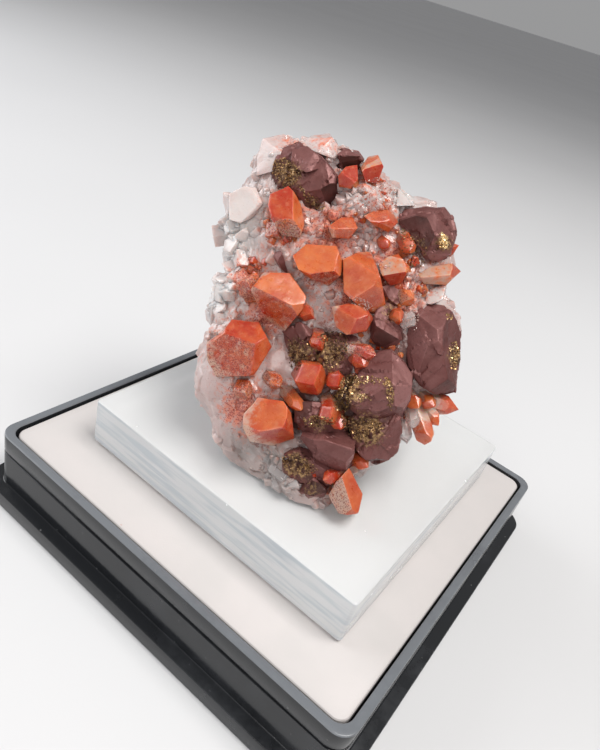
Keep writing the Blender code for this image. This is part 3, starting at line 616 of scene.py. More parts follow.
@dataclass(frozen=True)
class ChalcopyriteFinish:
    """Tarnished chalcopyrite: satin, dark to maroon to mauve by a painted sheen, lighter on faces
    turned to the light, and brown gold in its druse.
    """

    maroon: Colour = (0.130, 0.038, 0.033)
    mauve: Colour = (0.260, 0.112, 0.105)
    dark: Colour = (0.060, 0.018, 0.014)
    gold: Colour = (0.36, 0.22, 0.10)

    def make(self, effects: Effects) -> bpy.types.Material:
        """Makes the material, which reads each face's painted sheen and the mesh's druse numbers."""
        material, make, shader = new_material("chalcopyrite_tarnish")
        place = make.millimetres()
        cloud = make.clouds(place, 0.5)
        fine = make.clouds(place, 3.4, 4.0, 0.65)
        uneven = make.spread(cloud, 0.3, 0.7, -0.15, 0.15)
        # painted sheen: each face's number paints faces turned to the light mauve and faces turned
        # away dark
        painted_sheen = make.plus(make.attribute("tint"), uneven, clamp=True)
        colour = make.mix(make.spread(painted_sheen, 0.0, 0.3), self.dark, self.maroon)
        colour = make.mix(make.spread(painted_sheen, 0.3, 0.9), colour, self.mauve)
        colour = make.mix(make.spread(fine, 0.56, 0.72, 0.0, 0.55), colour, self.dark)
        druse = make.attribute("druse")
        patchy = make.spread(make.plus(fine, make.times(druse, 0.5)), 0.66, 0.84)
        golden = make.mix(make.spread(make.clouds(place, 2.2), 0.42, 0.6), self.dark, self.gold)
        colour = make.mix(make.times(patchy, make.spread(druse, 0.05, 0.4)), colour, golden)
        specks = make.group(effects.specks, Place=place, Amount=0.22, Scale=1.7)
        colour = make.mix(make.times(specks, 0.5), colour, self.dark)
        grain = make.group(effects.grain, Place=place, Scale=3.0, Coarse=1.0)
        normal = make.bump(grain, 0.6, 0.08)
        make.feed(shader, {
            "Base Color": colour,
            "Roughness": make.spread(fine, 0.3, 0.7, 0.38, 0.58),
            "Metallic": make.spread(patchy, 0.0, 1.0, 0.3, 0.5),
            "Normal": normal,
        })
        return material


@dataclass(frozen=True)
class GoldenDruseFinish:
    """Small chalcopyrite grains: brown, brassy and bright gold by each grain's own tone."""

    dark: Colour = (0.13, 0.07, 0.04)
    brass: Colour = (0.50, 0.30, 0.13)
    bright: Colour = (0.92, 0.70, 0.38)

    def make(self) -> bpy.types.Material:
        """Makes the material, which reads each grain's tone."""
        material, make, shader = new_material("golden_druse")
        tone = make.attribute("tone")
        colour = make.mix(make.spread(tone, 0.2, 0.65), self.dark, self.brass)
        colour = make.mix(make.spread(tone, 0.72, 0.95), colour, self.bright)
        make.feed(shader, {
            "Base Color": colour,
            "Roughness": make.spread(tone, 0.0, 1.0, 0.5, 0.22),
            "Metallic": 0.7,
        })
        return material


@dataclass(frozen=True)
class SugarFinish:
    """Tiny quartz grains: rosy to white by each grain's own tone, and glassy."""

    rosy: Colour = (0.62, 0.16, 0.11)
    pale: Colour = (0.68, 0.46, 0.40)

    def make(self) -> bpy.types.Material:
        """Makes the material, which reads each grain's tone."""
        material, make, shader = new_material("quartz_sugar")
        tone = make.attribute("tone")
        colour = make.mix(make.spread(tone, 0.2, 0.75), self.rosy, self.pale)
        make.feed(shader, {
            "Base Color": colour,
            "Roughness": make.spread(tone, 0.0, 1.0, 0.3, 0.08),
            "IOR": QUARTZ_IOR,
            "Transmission Weight": 0.35,
        })
        return material


@dataclass(frozen=True)
class TrayFinish:
    """Glossy black moulded plastic with faint rub marks and dust, and a painted highlight on the top
    of its rim.
    """

    black: Colour = (0.012, 0.013, 0.015)
    rubbed: Colour = (0.05, 0.053, 0.06)
    # colour of the painted highlight on the rim's top
    painted_rim_highlight: Colour = (0.15, 0.16, 0.175)

    def make(self, effects: Effects) -> bpy.types.Material:
        """Makes the material."""
        material, make, shader = new_material("tray_black")
        place = make.millimetres()
        rubs = make.spread(make.clouds(place, 0.09, 6.0, 0.7), 0.5, 0.72)
        dust = make.group(effects.specks, Place=place, Amount=0.1, Scale=0.7)
        # painted highlight: the rim's top faces are painted grey
        black = make.mix(make.attribute("rim"), self.black, self.painted_rim_highlight)
        colour = make.mix(make.times(rubs, 0.4), black, self.rubbed)
        colour = make.mix(make.times(dust, 0.5), colour, (0.2, 0.2, 0.2))
        grain = make.group(effects.grain, Place=place, Scale=1.3, Coarse=1.0)
        normal = make.bump(grain, 0.15, 0.05)
        make.feed(shader, {
            "Base Color": colour,
            "Roughness": make.spread(rubs, 0.0, 1.0, 0.16, 0.34),
            "Normal": normal,
        })
        return material


@dataclass(frozen=True)
class LinerFinish:
    """Smooth white foam: matt, with fine cells and a few specks of dust."""

    white: Colour = (0.55, 0.515, 0.505)
    shade: Colour = (0.51, 0.485, 0.475)

    def make(self, effects: Effects) -> bpy.types.Material:
        """Makes the material."""
        material, make, shader = new_material("liner_white")
        place = make.millimetres()
        cloud = make.spread(make.clouds(place, 0.12, 3.0), 0.35, 0.7)
        colour = make.mix(cloud, self.white, self.shade)
        dust = make.group(effects.specks, Place=place, Amount=0.06, Scale=0.16)
        colour = make.mix(make.times(dust, 0.6), colour, (0.45, 0.2, 0.15))
        grain = make.group(effects.grain, Place=place, Scale=5.0, Coarse=0.6)
        normal = make.bump(grain, 0.25, 0.04)
        make.feed(shader, {
            "Base Color": colour,
            "Normal": normal,
            "Roughness": make.spread(cloud, 0.0, 1.0, 0.5, 0.62),
        })
        return material


@dataclass(frozen=True)
class AcrylicFinish:
    """Clear acrylic: polished on top, a little wavy on its sawn sides, with painted reflection
    streaks there, and a faint milky haze.
    """

    clear: Colour = (0.965, 0.975, 0.98)
    # colour of the painted reflection streaks
    painted_streak: Colour = (0.76, 0.81, 0.86)

    def make(self, effects: Effects) -> bpy.types.Material:
        """Makes the material, which reads how far a face is sawn."""
        material, make, shader = new_material("acrylic_clear")
        place = make.millimetres()
        sawn = make.attribute("sawn")
        stretch = {"Vector": place, "Scale": (0.25, 0.25, 3.0)}
        drawn = make.add("ShaderNodeMapping", stretch).outputs[0]
        waves = make.clouds(drawn, 0.5, 3.0)
        normal = make.bump(waves, make.times(sawn, 0.5), 0.1)
        dust = make.group(effects.specks, Place=place, Amount=0.08, Scale=0.4)
        # painted reflection: bluish streaks along the waves of the sawn sides
        painted_streaks = make.times(make.spread(waves, 0.44, 0.62), sawn)
        rough = make.plus(make.times(sawn, 0.16), make.times(dust, 0.3))
        make.feed(shader, {
            "Base Color": make.mix(painted_streaks, self.clear, self.painted_streak),
            "Roughness": rough,
            "Normal": normal,
            "IOR": 1.49,
            "Transmission Weight": 0.47,
        })
        return material


@dataclass(frozen=True)
class Finishes:
    """Every material of the object."""

    red: bpy.types.Material
    milky: bpy.types.Material
    clear: bpy.types.Material
    chalcopyrite: bpy.types.Material
    druse: bpy.types.Material
    sugar: bpy.types.Material
    tray: bpy.types.Material
    liner: bpy.types.Material
    acrylic: bpy.types.Material

    @classmethod
    def make(cls) -> "Finishes":
        """Makes them over the shared effects."""
        effects = Effects.make()
        return cls(
            RedQuartzFinish().make(effects), MilkyQuartzFinish().make(effects),
            ClearQuartzFinish().make(effects), ChalcopyriteFinish().make(effects),
            GoldenDruseFinish().make(), SugarFinish().make(), TrayFinish().make(effects),
            LinerFinish().make(effects), AcrylicFinish().make(effects),
        )


# Crystals


@dataclass(frozen=True)
class Facet:
    """A flat face: a point on it, the way it faces, how deep it looks, which holds both its own depth
    of colour and painted facet shade, and how speckled it looks.
    """

    across: float
    up: float
    out: float
    heading: float
    rise: float
    # how deep the face looks: its own depth of colour with painted facet shade
    tint: float = 0.5
    speckle: float = 0.0

    def cut(self, shape: bmesh.types.BMesh) -> None:
        """Cuts a shape along this face and marks the new face with its look."""
        point = PicturePlane.sight(self.across, self.up, self.out)
        made = slice_off(shape, point, PicturePlane.facing(self.heading, self.rise))
        mark(shape, made, self.tint, self.speckle)


def crystal_mesh() -> bmesh.types.BMesh:
    """Starts a mesh with the layers that the crystals' finishes read."""
    shape = bmesh.new()
    shape.faces.layers.float.new("tint")
    shape.faces.layers.float.new("speckle")
    shape.verts.layers.float.new("milk")
    shape.loops.layers.uv.new("growth")
    return shape


def mark(shape: bmesh.types.BMesh, faces: list[bmesh.types.BMFace], tint: float,
         speckle: float) -> None:
    """Writes the look of some faces, depth of colour with painted facet shade and speckle, into the
    mesh's layers.
    """
    tints = shape.faces.layers.float["tint"]
    speckles = shape.faces.layers.float["speckle"]
    for face in faces:
        face[tints] = tint
        face[speckles] = speckle


@dataclass(frozen=True)
class DrawnCrystal:
    """A large crystal: its outline on the picture plane, its depth and its front faces."""

    outline: Outline
    back: float
    front: float
    facets: tuple[Facet, ...]
    heart: tuple[float, float] | None = None
    reach: float = 99.0
    lean: float = 90.0
    # the sides' depth of colour with painted facet shade
    side_tint: float = 0.6
    side_speckle: float = 0.5

    def shape(self) -> bmesh.types.BMesh:
        """Makes the crystal as a column along the line of sight, cut by its front faces."""
        shape = crystal_mesh()
        corners = [shape.verts.new(PicturePlane.sight(a, u, self.back)) for a, u in self.outline]
        back = shape.faces.new(corners)
        raised = bmesh.ops.extrude_face_region(shape, geom=[back])
        for vertex in [item for item in raised["geom"] if isinstance(item, bmesh.types.BMVert)]:
            vertex.co = PicturePlane.along_sight(vertex.co, self.front)
        bmesh.ops.recalc_face_normals(shape, faces=shape.faces)
        mark(shape, shape.faces[:], self.side_tint, self.side_speckle)
        for facet in self.facets:
            facet.cut(shape)
        bmesh.ops.recalc_face_normals(shape, faces=shape.faces)
        return shape


class Habit(Enum):
    """How deep each of the six end faces of a small crystal cuts, as parts of its radius."""

    POINT = (0.0, 0.05, 0.1, 0.0, 0.1, 0.05)
    THREE = (0.35, -0.5, 0.3, -0.5, 0.4, -0.5)
    CHISEL = (0.7, 0.0, -0.2, 0.6, 0.1, -0.2)


POINT, THREE, CHISEL = Habit
END_SLOPE = 51.8  # how steep a quartz crystal's end faces are, in degrees
# painted facet shade: each end face a little lighter or darker than the next
END_FACE_SHADES = (0.12, -0.12, 0.2, 0.0, -0.2, 0.1)


@dataclass(frozen=True)
class SmallCrystal:
    """A six sided quartz crystal: its tip, the way it points, its size, turn and look."""

    across: float
    up: float
    out: float
    heading: float
    rise: float
    radius: float
    length: float
    turn: float = 0.0
    habit: Habit = POINT
    tint: float = 0.5
    speckle: float = 0.3
    reach: float = 0.0

    def shape(self) -> bmesh.types.BMesh:
        """Makes the crystal's mesh in picture plane millimetres."""
        shape = crystal_mesh()
        bmesh.ops.create_cone(
            shape, cap_ends=True, segments=6, radius1=self.radius, radius2=self.radius,
            depth=self.length,
        )
        bmesh.ops.translate(shape, verts=shape.verts, vec=(0, 0, -self.length / 2 + self.radius))
        mark(shape, shape.faces[:], self.tint, min(1.0, self.speckle + 0.25))
        # the end faces take their painted facet shade
        for number, (drop, extra) in enumerate(zip(self.habit.value, END_FACE_SHADES)):
            outside = PicturePlane.facing(30 + 60 * number, 90 - END_SLOPE)
            made = slice_off(shape, Vector((0, 0, -drop * self.radius)), outside)
            mark(shape, made, self.tint + extra, self.speckle)
        tip = max(vertex.co.z for vertex in shape.verts)
        bmesh.ops.translate(shape, verts=shape.verts, vec=(0, 0, -tip))
        shape.transform(self.placing())
        return shape

    def placing(self) -> Matrix:
        """Gives the matrix that stands the crystal the way it points, with its tip in place."""
        axis = PicturePlane.facing(self.heading, self.rise)
        guide = Vector((0, 0, 1)) if self.rise < 60 else Vector((0, 1, 0))
        side = (guide - axis * guide.dot(axis)).normalized()
        turned = Matrix((side, axis.cross(side), axis)).transposed().to_4x4()
        place = Matrix.Translation(PicturePlane.sight(self.across, self.up, self.out))
        return place @ turned @ Matrix.Rotation(math.radians(self.turn), 4, "Z")


def facets(*rows: tuple[float, ...]) -> tuple[Facet, ...]:
    """Turns rows of numbers into facets."""
    return tuple(Facet(*row) for row in rows)


def drawn_crystal(outline: Outline, back: float, front: float, *rows: tuple[float, ...],
                  **look: object) -> DrawnCrystal:
    """Turns plain numbers into a large crystal.

    Args:
        outline: its outline on the picture plane.
        back: how far back it reaches.
        front: how far out it would reach uncut.
        rows: the numbers of its front faces.
        look: its other fields.

    Returns:
        The crystal.
    """
    return DrawnCrystal(outline, back, front, facets(*rows), **look)


def small_crystals(*rows: tuple, **look: float) -> tuple[SmallCrystal, ...]:
    """Turns rows of numbers into small crystals that share the other fields."""
    return tuple(SmallCrystal(*row, **look) for row in rows)


def chip_corners(shape: bmesh.types.BMesh, dice: random.Random, count: int, depth: float) -> None:
    """Cuts small extra growth faces across some of a crystal's front corners.

    Args:
        shape: the crystal in picture plane millimetres.
        dice: seeded random numbers.
        count: how many corners lose their tip.
        depth: the deepest cut.
    """
    for _ in range(count):
        shape.normal_update()
        front = sorted(shape.verts, key=lambda vertex: (-vertex.co.z, vertex.co.x))[:9]
        corner = dice.choice(front)
        lean = Vector((dice.uniform(-0.4, 0.4), dice.uniform(-0.4, 0.4), dice.uniform(-0.2, 0.2)))
        outside = (corner.normal + lean).normalized()
        near = corner.link_faces[0]
        look = near[shape.faces.layers.float["tint"]], near[shape.faces.layers.float["speckle"]]
        made = slice_off(shape, corner.co - outside * dice.uniform(0.3, 1.0) * depth, outside)
        mark(shape, made, look[0] + dice.uniform(-0.2, 0.2), look[1])


def lay_growth_map(shape: bmesh.types.BMesh, axis: Vector) -> None:
    """Gives each face a map with growth lines across the crystal's axis, in millimetres."""
    layer = shape.loops.layers.uv["growth"]
    shape.normal_update()
    for face in shape.faces:
        across = face.normal.cross(axis)
        if across.length < 0.1:
            across = face.normal.cross(Vector((0, 1, 0)))
        across.normalize()
        along = face.normal.cross(across)
        for corner in face.loops:
            corner[layer].uv = (corner.vert.co.dot(across), corner.vert.co.dot(along))


def ripple(shape: bmesh.types.BMesh, size: float, height: float) -> None:
    """Moves points a little along their normals, as a natural face is never quite flat.

    Args:
        shape: a finely divided mesh.
        size: how wide the ripples are.
        height: how high they are.
    """
    shape.normal_update()
    moves = [point.normal * noise.noise(point.co / size) * height for point in shape.verts]
    for point, move in zip(shape.verts, moves):
        point.co += move


def press_flat(shape: bmesh.types.BMesh) -> None:
    """Cuts a shape level where the specimen stands on the block, in picture plane millimetres."""
    slice_off(shape, *PicturePlane.foot())


def work_over(shape: bmesh.types.BMesh, dice: random.Random, chips: int, depth: float,
              edge: float, fine: float) -> None:
    """Chips a crystal's corners, levels its foot, rounds its edges and divides its faces.

    Args:
        shape: the crystal in picture plane millimetres.
        dice: seeded random numbers.
        chips: how many small extra faces it gets.
        depth: how deep they cut at most.
        edge: how wide its edges are rounded.
        fine: the longest edge of its mesh.
    """
    bmesh.ops.remove_doubles(shape, verts=shape.verts, dist=WELD)
    chip_corners(shape, dice, chips, depth)
    press_flat(shape)
    bmesh.ops.remove_doubles(shape, verts=shape.verts, dist=WELD)
    soften_edges(shape, shape.edges[:], edge, 2)
    refine(shape, fine)


def dress_crystal(shape: bmesh.types.BMesh, dice: random.Random, axis: Vector, chips: int,
                  edge: float, wave: float = 0.05, fine: float = 0.45) -> None:
    """Turns a faceted crystal into a natural one.

    Args:
        shape: the crystal in picture plane millimetres.
        dice: seeded random numbers.
        axis: the way its growth lines run across.
        chips: how many small extra faces it gets.
        edge: how wide its edges are rounded.
        wave: how far its faces are from flat.
        fine: the longest edge of its mesh.
    """
    work_over(shape, dice, chips, 5.0 * edge, edge, fine)
    ripple(shape, 1.1, wave)
    lay_growth_map(shape, axis)


def fade_to_milk(shape: bmesh.types.BMesh, heart: Vector, reach: float) -> None:
    """Marks how milky a crystal is: clear red near its heart, and milky from there on.

    Args:
        shape: the crystal.
        heart: the middle of its coloured part.
        reach: how far the colour reaches.
    """
    layer = shape.verts.layers.float["milk"]
    for vertex in shape.verts:
        away = (vertex.co - heart).length / reach
        vertex[layer] = min(1.0, max(0.0, (away - 0.7) / 0.6))


# Where things are on the picture plane, in millimetres


@dataclass(frozen=True)
class Patch:
    """A soft round patch on the picture plane: its middle, its spread and its strength."""

    across: float
    up: float
    spread: float
    strength: float

    def over(self, across: np.ndarray, up: np.ndarray) -> np.ndarray:
        """Gives the patch's strength at each point."""
        away = (across - self.across) ** 2 + (up - self.up) ** 2
        return self.strength * np.exp(-away / self.spread ** 2)


def patches(*rows: tuple[float, ...]) -> tuple[Patch, ...]:
    """Turns rows of numbers into patches."""
    return tuple(Patch(*row) for row in rows)


@dataclass(frozen=True)
class Region:
    """An area on the picture plane that small grains cover: how many, how large and how bright."""

    outline: Outline
    count: int
    size: float
    tone: float = 0.5


OUTLINE: Outline = (
    (14, -2), (14.2, 1), (12.6, 3.4), (12.8, 5), (13.6, 7.2), (13.6, 9.4), (13, 11.6), (11.4, 13.2),
    (9, 14), (7.4, 14.8), (6, 16.2), (4, 17.6), (2.4, 19), (0.8, 20), (-0.6, 20.8), (-2.2, 20.6),
    (-3.6, 20), (-5.2, 20.9), (-7.4, 20.4), (-7.9, 18.4), (-8.4, 16.4), (-9.6, 15), (-11, 14.4),
    (-11.2, 12), (-11.3, 10.2), (-10.9, 8), (-11.6, 6.2), (-12.4, 4.4), (-12.9, 2.6), (-13, 0.2),
    (-13.7, -1.8), (-14.6, -3.8), (-15, -6), (-14.7, -7.8), (-13.6, -9.2), (-12.9, -10.6),
    (-12.6, -12.6), (-11, -14.8), (-9.4, -16.8), (-7, -19), (-4.4, -20.6), (-1.8, -21.2),
    (0.2, -20.2), (1.6, -18.2), (2.6, -16.4), (4.4, -15.4), (6, -14.8), (7.2, -13.4), (8.2, -11.6),
    (9, -9.4), (11, -8), (13, -7.2), (13.8, -5),
)

BACK_BREAKS = facets(
    (-2.6, -8.4, -18.2, 72.7, -71.3), (-9.5, 4, -11.4, 160, -48), (9.8, 2, -12.6, 10, -50),
    (2, 17, -9.4, 95, -50), (-10, -10, -16, 200, -38), (7.5, -9, -16.5, -20, -40),
)

LUMPS = patches(
    (-12.2, -6.4, 3.4, 2.6), (5, 14.2, 3.2, 2.8), (-6.6, 10, 2.6, 0.9), (-1, 10.6, 3, 0.8),
    (0.6, -4, 6, 1), (-8, -14.6, 3, -0.6), (-3, -18, 3.4, 2.6), (8, 2.6, 3, 0.8),
)
SMOOTH_PATCHES = patches(
    (-12.5, -6, 3.2, 1), (-1.2, 2.4, 2, 0.8), (-10, -12, 2.5, 0.5), (-9.5, 13, 1.5, 0.8),
    (-8.6, 1.6, 1.8, 0.6),
)

DRUSE_PATCHES = patches(
    (4.7, 14, 2.5, 0.9), (7.6, 1, 2.6, 0.7), (-5.5, 10, 2, 0.8), (9, -11, 2, 1), (-11, 5, 2, 0.8),
    (-10.5, 9, 1.8, 0.8), (3, 9.8, 2, 0.5), (-9.5, -8, 2, 0.3), (-5, -17.5, 2, 0.6),
    (10.5, 5, 2, 0.5), (-12.5, -6.5, 2.8, -0.28),
)

ROUGH_PATCHES = patches(
    (-4.6, 16.6, 1.5, 1), (-2, 13.4, 1.1, 0.6), (2.2, -7.4, 1.6, 1), (4.2, -11.6, 1.9, 1),
    (-0.2, -3.3, 2, 0.9), (-3.8, -3.4, 1.6, 0.9), (9, 8, 2, 0.6), (12.6, 9, 1, 0.9),
    (13.9, -3.5, 1, 1), (-3.6, -15.4, 1.6, 0.9), (6.4, -7, 1.4, 0.3), (-1.2, -10.7, 1.3, 0.6),
    (-7, -12.8, 2, 0.7), (-2, -18.4, 1.2, 0.5), (6.8, 1.5, 1.4, 0.6),
)

MATRIX_COLOURS = {
    "white": patches(
        (-9.3, 13.3, 2.6, 1), (-12.2, 4.2, 2.6, 1.1), (-10.6, 9.8, 2.4, 1.1),
        (-1.2, 20.4, 2.4, 0.35), (8.6, 14.4, 1.6, 1), (11.6, 3.2, 1.3, 1), (-6.5, 19, 2.2, 0.45),
        (4.6, 14.2, 2.2, 0.8), (-11, 0.6, 2, 0.4),
    ),
    "grey": patches(
        (-1.6, 1.8, 2, 0.6), (-9.5, -13, 2.6, 1), (-5.5, -17.5, 2.6, 0.9), (-7, -15, 2.6, 0.9),
        (8.3, -12.8, 1.6, 0.7), (-2.4, 12, 1.4, 0.4), (-4, -7, 1.4, 0.4), (5.5, -2.4, 2, 0.8),
    ),
    "rosy": patches(
        (-9, 5.4, 2, 0.9), (-5.4, 10.2, 1.8, 0.9), (-6.8, 0.9, 1.3, 0.9), (4.8, 14.6, 2.2, 0.35),
        (3.4, 2.4, 1.4, 0.9), (7.7, 2.4, 2.6, 0.8), (-9.6, -8.6, 2, 0.8), (-4.2, -7, 1.3, 0.7),
        (-4.4, 20, 1.6, 0.7), (-0.6, 20, 2, 0.5), (0.4, -2.2, 3, 0.4), (9.6, -11, 2.6, 0.8),
        (0, 10.6, 2.4, 0.7), (7, 9, 2, 0.6), (-10.8, -9.8, 1.6, 0.5),
    ),
    # painted shade: dark patches in the gaps between crystals
    "painted_shade": patches(
        (-0.8, -3.6, 3.6, 1.1), (1, -10.6, 3.2, 1.2), (-3, -15.8, 1.9, 1), (-7.6, -12.4, 1.6, 0.9),
        (8, -4.6, 2.8, 1), (9.6, 7.4, 1.8, 0.8), (3.4, -16.4, 1.6, 0.7), (-1.2, 13, 1.2, 0.7),
        (3.4, -4.6, 2.4, 0.9), (-1.4, -9.2, 2.2, 1.2), (2, -8, 2.2, 1.2), (6.6, -1.4, 1.8, 0.8),
        (-2.8, -10.2, 1.8, 1.2), (0.2, -6, 2.4, 1.1),
    ),
}

BACK_COLOURS = {"white": 0.35, "grey": 0.25, "rosy": 0.06, "painted_shade": 0.0}

POINT_REGIONS = (
    Region(OUTLINE, 120, 0.6),
    Region(
        ((-12.9, 0.5), (-12.9, 4), (-11.4, 8), (-11.6, 12), (-9.6, 11), (-9.4, 7), (-10.6, 4),
        (-11.4, 1)), 30, 1.15,
    ),
    Region(
        ((-9, 15), (-8.4, 19), (-3, 20), (1, 20), (5, 17), (8, 14), (10, 12.8), (7, 12.6),
        (1.5, 14), (-3.5, 13), (-7.4, 14)), 60, 0.6,
    ),
    Region(((-1, 8.6), (-1, 14), (7, 14.6), (7.4, 9), (5, 8.2), (1.4, 8.6)), 40, 0.75),
    Region(((6.4, -1), (6, 7), (9.6, 8.6), (12.6, 4), (9.6, 1)), 40, 0.55),
    Region(((-8, -16), (-4, -20), (0, -20), (-2, -16), (-6, -13.8)), 26, 0.55),
)

RED_POINT_REGIONS = (
    Region(((1.6, -1.4), (1.4, -5.4), (4, -7), (8, -4.4), (8.4, 0.6), (5, 1.2)), 26, 0.42),
    Region(((-3.6, -8.4), (-3.4, -11.6), (1.8, -11), (2, -8.6)), 16, 0.4),
    Region(((5.6, 8.4), (5.4, 0.6), (10.4, 1.2), (10.4, 5.2), (9, 9)), 30, 0.48),
    Region(((2.6, 11.6), (2.4, 16), (7.4, 16), (7.6, 9.4), (4, 9)), 22, 0.45),
    Region(((7.4, -8.6), (12.6, -8.4), (12, -11), (8.4, -12)), 16, 0.5),
    Region(((-7.2, 9), (-3, 9), (-3, 11), (-7, 11.4)), 12, 0.4),
    Region(((-10.4, 3.8), (-10.2, 7.4), (-6.4, 7.4), (-7.6, 5)), 16, 0.45),
    Region(((-3.6, -15.6), (-2, -19), (2, -16.6), (1, -15.6)), 10, 0.45),
)

GOLDEN_REGIONS = (
    Region(
        ((1.43, -5.72), (2.42, -5.17), (3.08, -6.05), (2.64, -7.37), (2.2, -8.8), (1.87, -9.57),
        (0.66, -9.35), (0.33, -8.25), (0.88, -6.93)), 546, 0.132, 0.42,
    ),
    Region(
        ((1.1, -9.68), (2.42, -10.23), (5.28, -10.45), (6.05, -11.33), (4.62, -11.77),
        (3.52, -12.65), (2.42, -12.43), (1.65, -11.55)), 462, 0.125, 0.27,
    ),
    Region(
        ((2.42, -5.61), (4.62, -5.61), (6.82, -6.27), (6.6, -6.82), (4.62, -6.49), (2.86, -6.49)),
        126, 0.119, 0.52,
    ),
    Region(((2.75, -7.59), (4.18, -7.59), (4.62, -8.36), (3.08, -8.47)), 54, 0.106, 0.62),
    Region(
        ((5.94, -5.61), (6.6, -6.05), (7.04, -7.7), (6.82, -9.57), (6.38, -8.8), (6.16, -7.15)),
        147, 0.119, 0.42,
    ),
    Region(
        ((-6.16, 18.15), (-4.95, 18.37), (-3.52, 17.27), (-3.08, 16.39), (-3.74, 15.51),
        (-4.95, 15.18), (-5.94, 15.95), (-6.38, 16.83)), 357, 0.125, 0.32,
    ),
    Region(
        ((-3.52, 15.51), (-2.75, 13.75), (-0.88, 12.43), (-0.44, 12.98), (-1.54, 13.86),
        (-2.86, 14.96)), 147, 0.112, 0.27,
    ),
    Region(
        ((12.21, 10.23), (12.76, 9.79), (13.09, 8.91), (12.76, 8.36), (11.99, 8.58)), 126, 0.158, 1,
    ),
    Region(
        ((7.48, 10.67), (9.02, 9.79), (10.45, 9.57), (10.78, 7.7), (9.68, 5.83), (8.25, 6.93)), 126,
        0.112, 0.22,
    ),
    Region(
        ((13.09, -2.09), (13.86, -1.65), (14.3, -2.97), (13.86, -4.95), (13.2, -4.73)), 126, 0.132,
        0.57,
    ),
    Region(((12.76, 1.32), (13.53, 1.1), (13.53, 0.55), (12.87, 0.55)), 29, 0.119, 0.72),
    Region(
        ((-2.97, -10.23), (-1.32, -9.9), (0.22, -10.23), (0.44, -10.89), (-1.32, -11.22),
        (-2.75, -11.33)), 168, 0.119, 0.32,
    ),
    Region(
        ((-5.28, -14.63), (-3.74, -13.97), (-1.98, -15.07), (-1.32, -15.95), (-2.64, -16.61),
        (-4.18, -16.39), (-5.06, -15.51)), 231, 0.119, 0.27,
    ),
    Region(
        ((-1.32, -1.21), (0, -0.55), (1.65, -0.99), (2.2, -2.2), (1.32, -3.85), (0, -5.17),
        (-0.88, -4.73), (0, -2.97), (-0.88, -2.09)), 336, 0.112, 0.17,
    ),
    Region(
        ((-4.62, -1.65), (-3.3, -1.21), (-2.42, -2.2), (-2.64, -3.85), (-3.74, -5.17),
        (-4.62, -4.4)), 189, 0.112, 0.17,
    ),
)

SUGAR_REGIONS = (
    Region(
        ((2.2, 3.19), (3.52, 2.97), (4.84, 2.2), (4.62, 1.43), (3.3, 1.87), (2.2, 2.42)), 84, 0.11,
        0.7,
    ),
    Region(((5.28, 6.71), (6.16, 7.37), (6.82, 6.71), (6.38, 5.83), (5.5, 6.05)), 30, 0.1, 0.9),
    Region(
        ((2.42, 14.3), (3.52, 15.73), (5.28, 16.39), (7.04, 15.07), (7.7, 14.19), (7.26, 13.09),
        (4.95, 12.43), (2.75, 12.43)), 280, 0.1, 0.6,
    ),
    Region(
        ((-7.26, 11.33), (-6.38, 11.77), (-4.95, 11.33), (-3.52, 10.67), (-3.74, 9.35),
        (-5.5, 9.57), (-7.04, 10.23)), 154, 0.1, 0.45,
    ),
    Region(
        ((-10.12, 5.39), (-9.02, 6.71), (-7.48, 6.93), (-7.48, 5.17), (-9.02, 3.85),
        (-10.12, 3.63)), 112, 0.1, 0.45,
    ),
    Region(((8.14, 1.43), (9.02, 1.87), (9.9, 0.99), (9.46, -0.55), (8.36, -0.33)), 56, 0.1, 0.9),
    Region(
        ((-7.04, -5.83), (-5.72, -5.61), (-4.84, -6.93), (-5.94, -7.37), (-6.82, -6.93)), 56, 0.1,
        0.6,
    ),
    Region(
        ((-11, -7.37), (-9.24, -6.49), (-7.92, -7.15), (-8.58, -8.47), (-10.34, -8.69)), 84, 0.1,
        0.5,
    ),
)

# Large red crystals, from the upper left one down and across

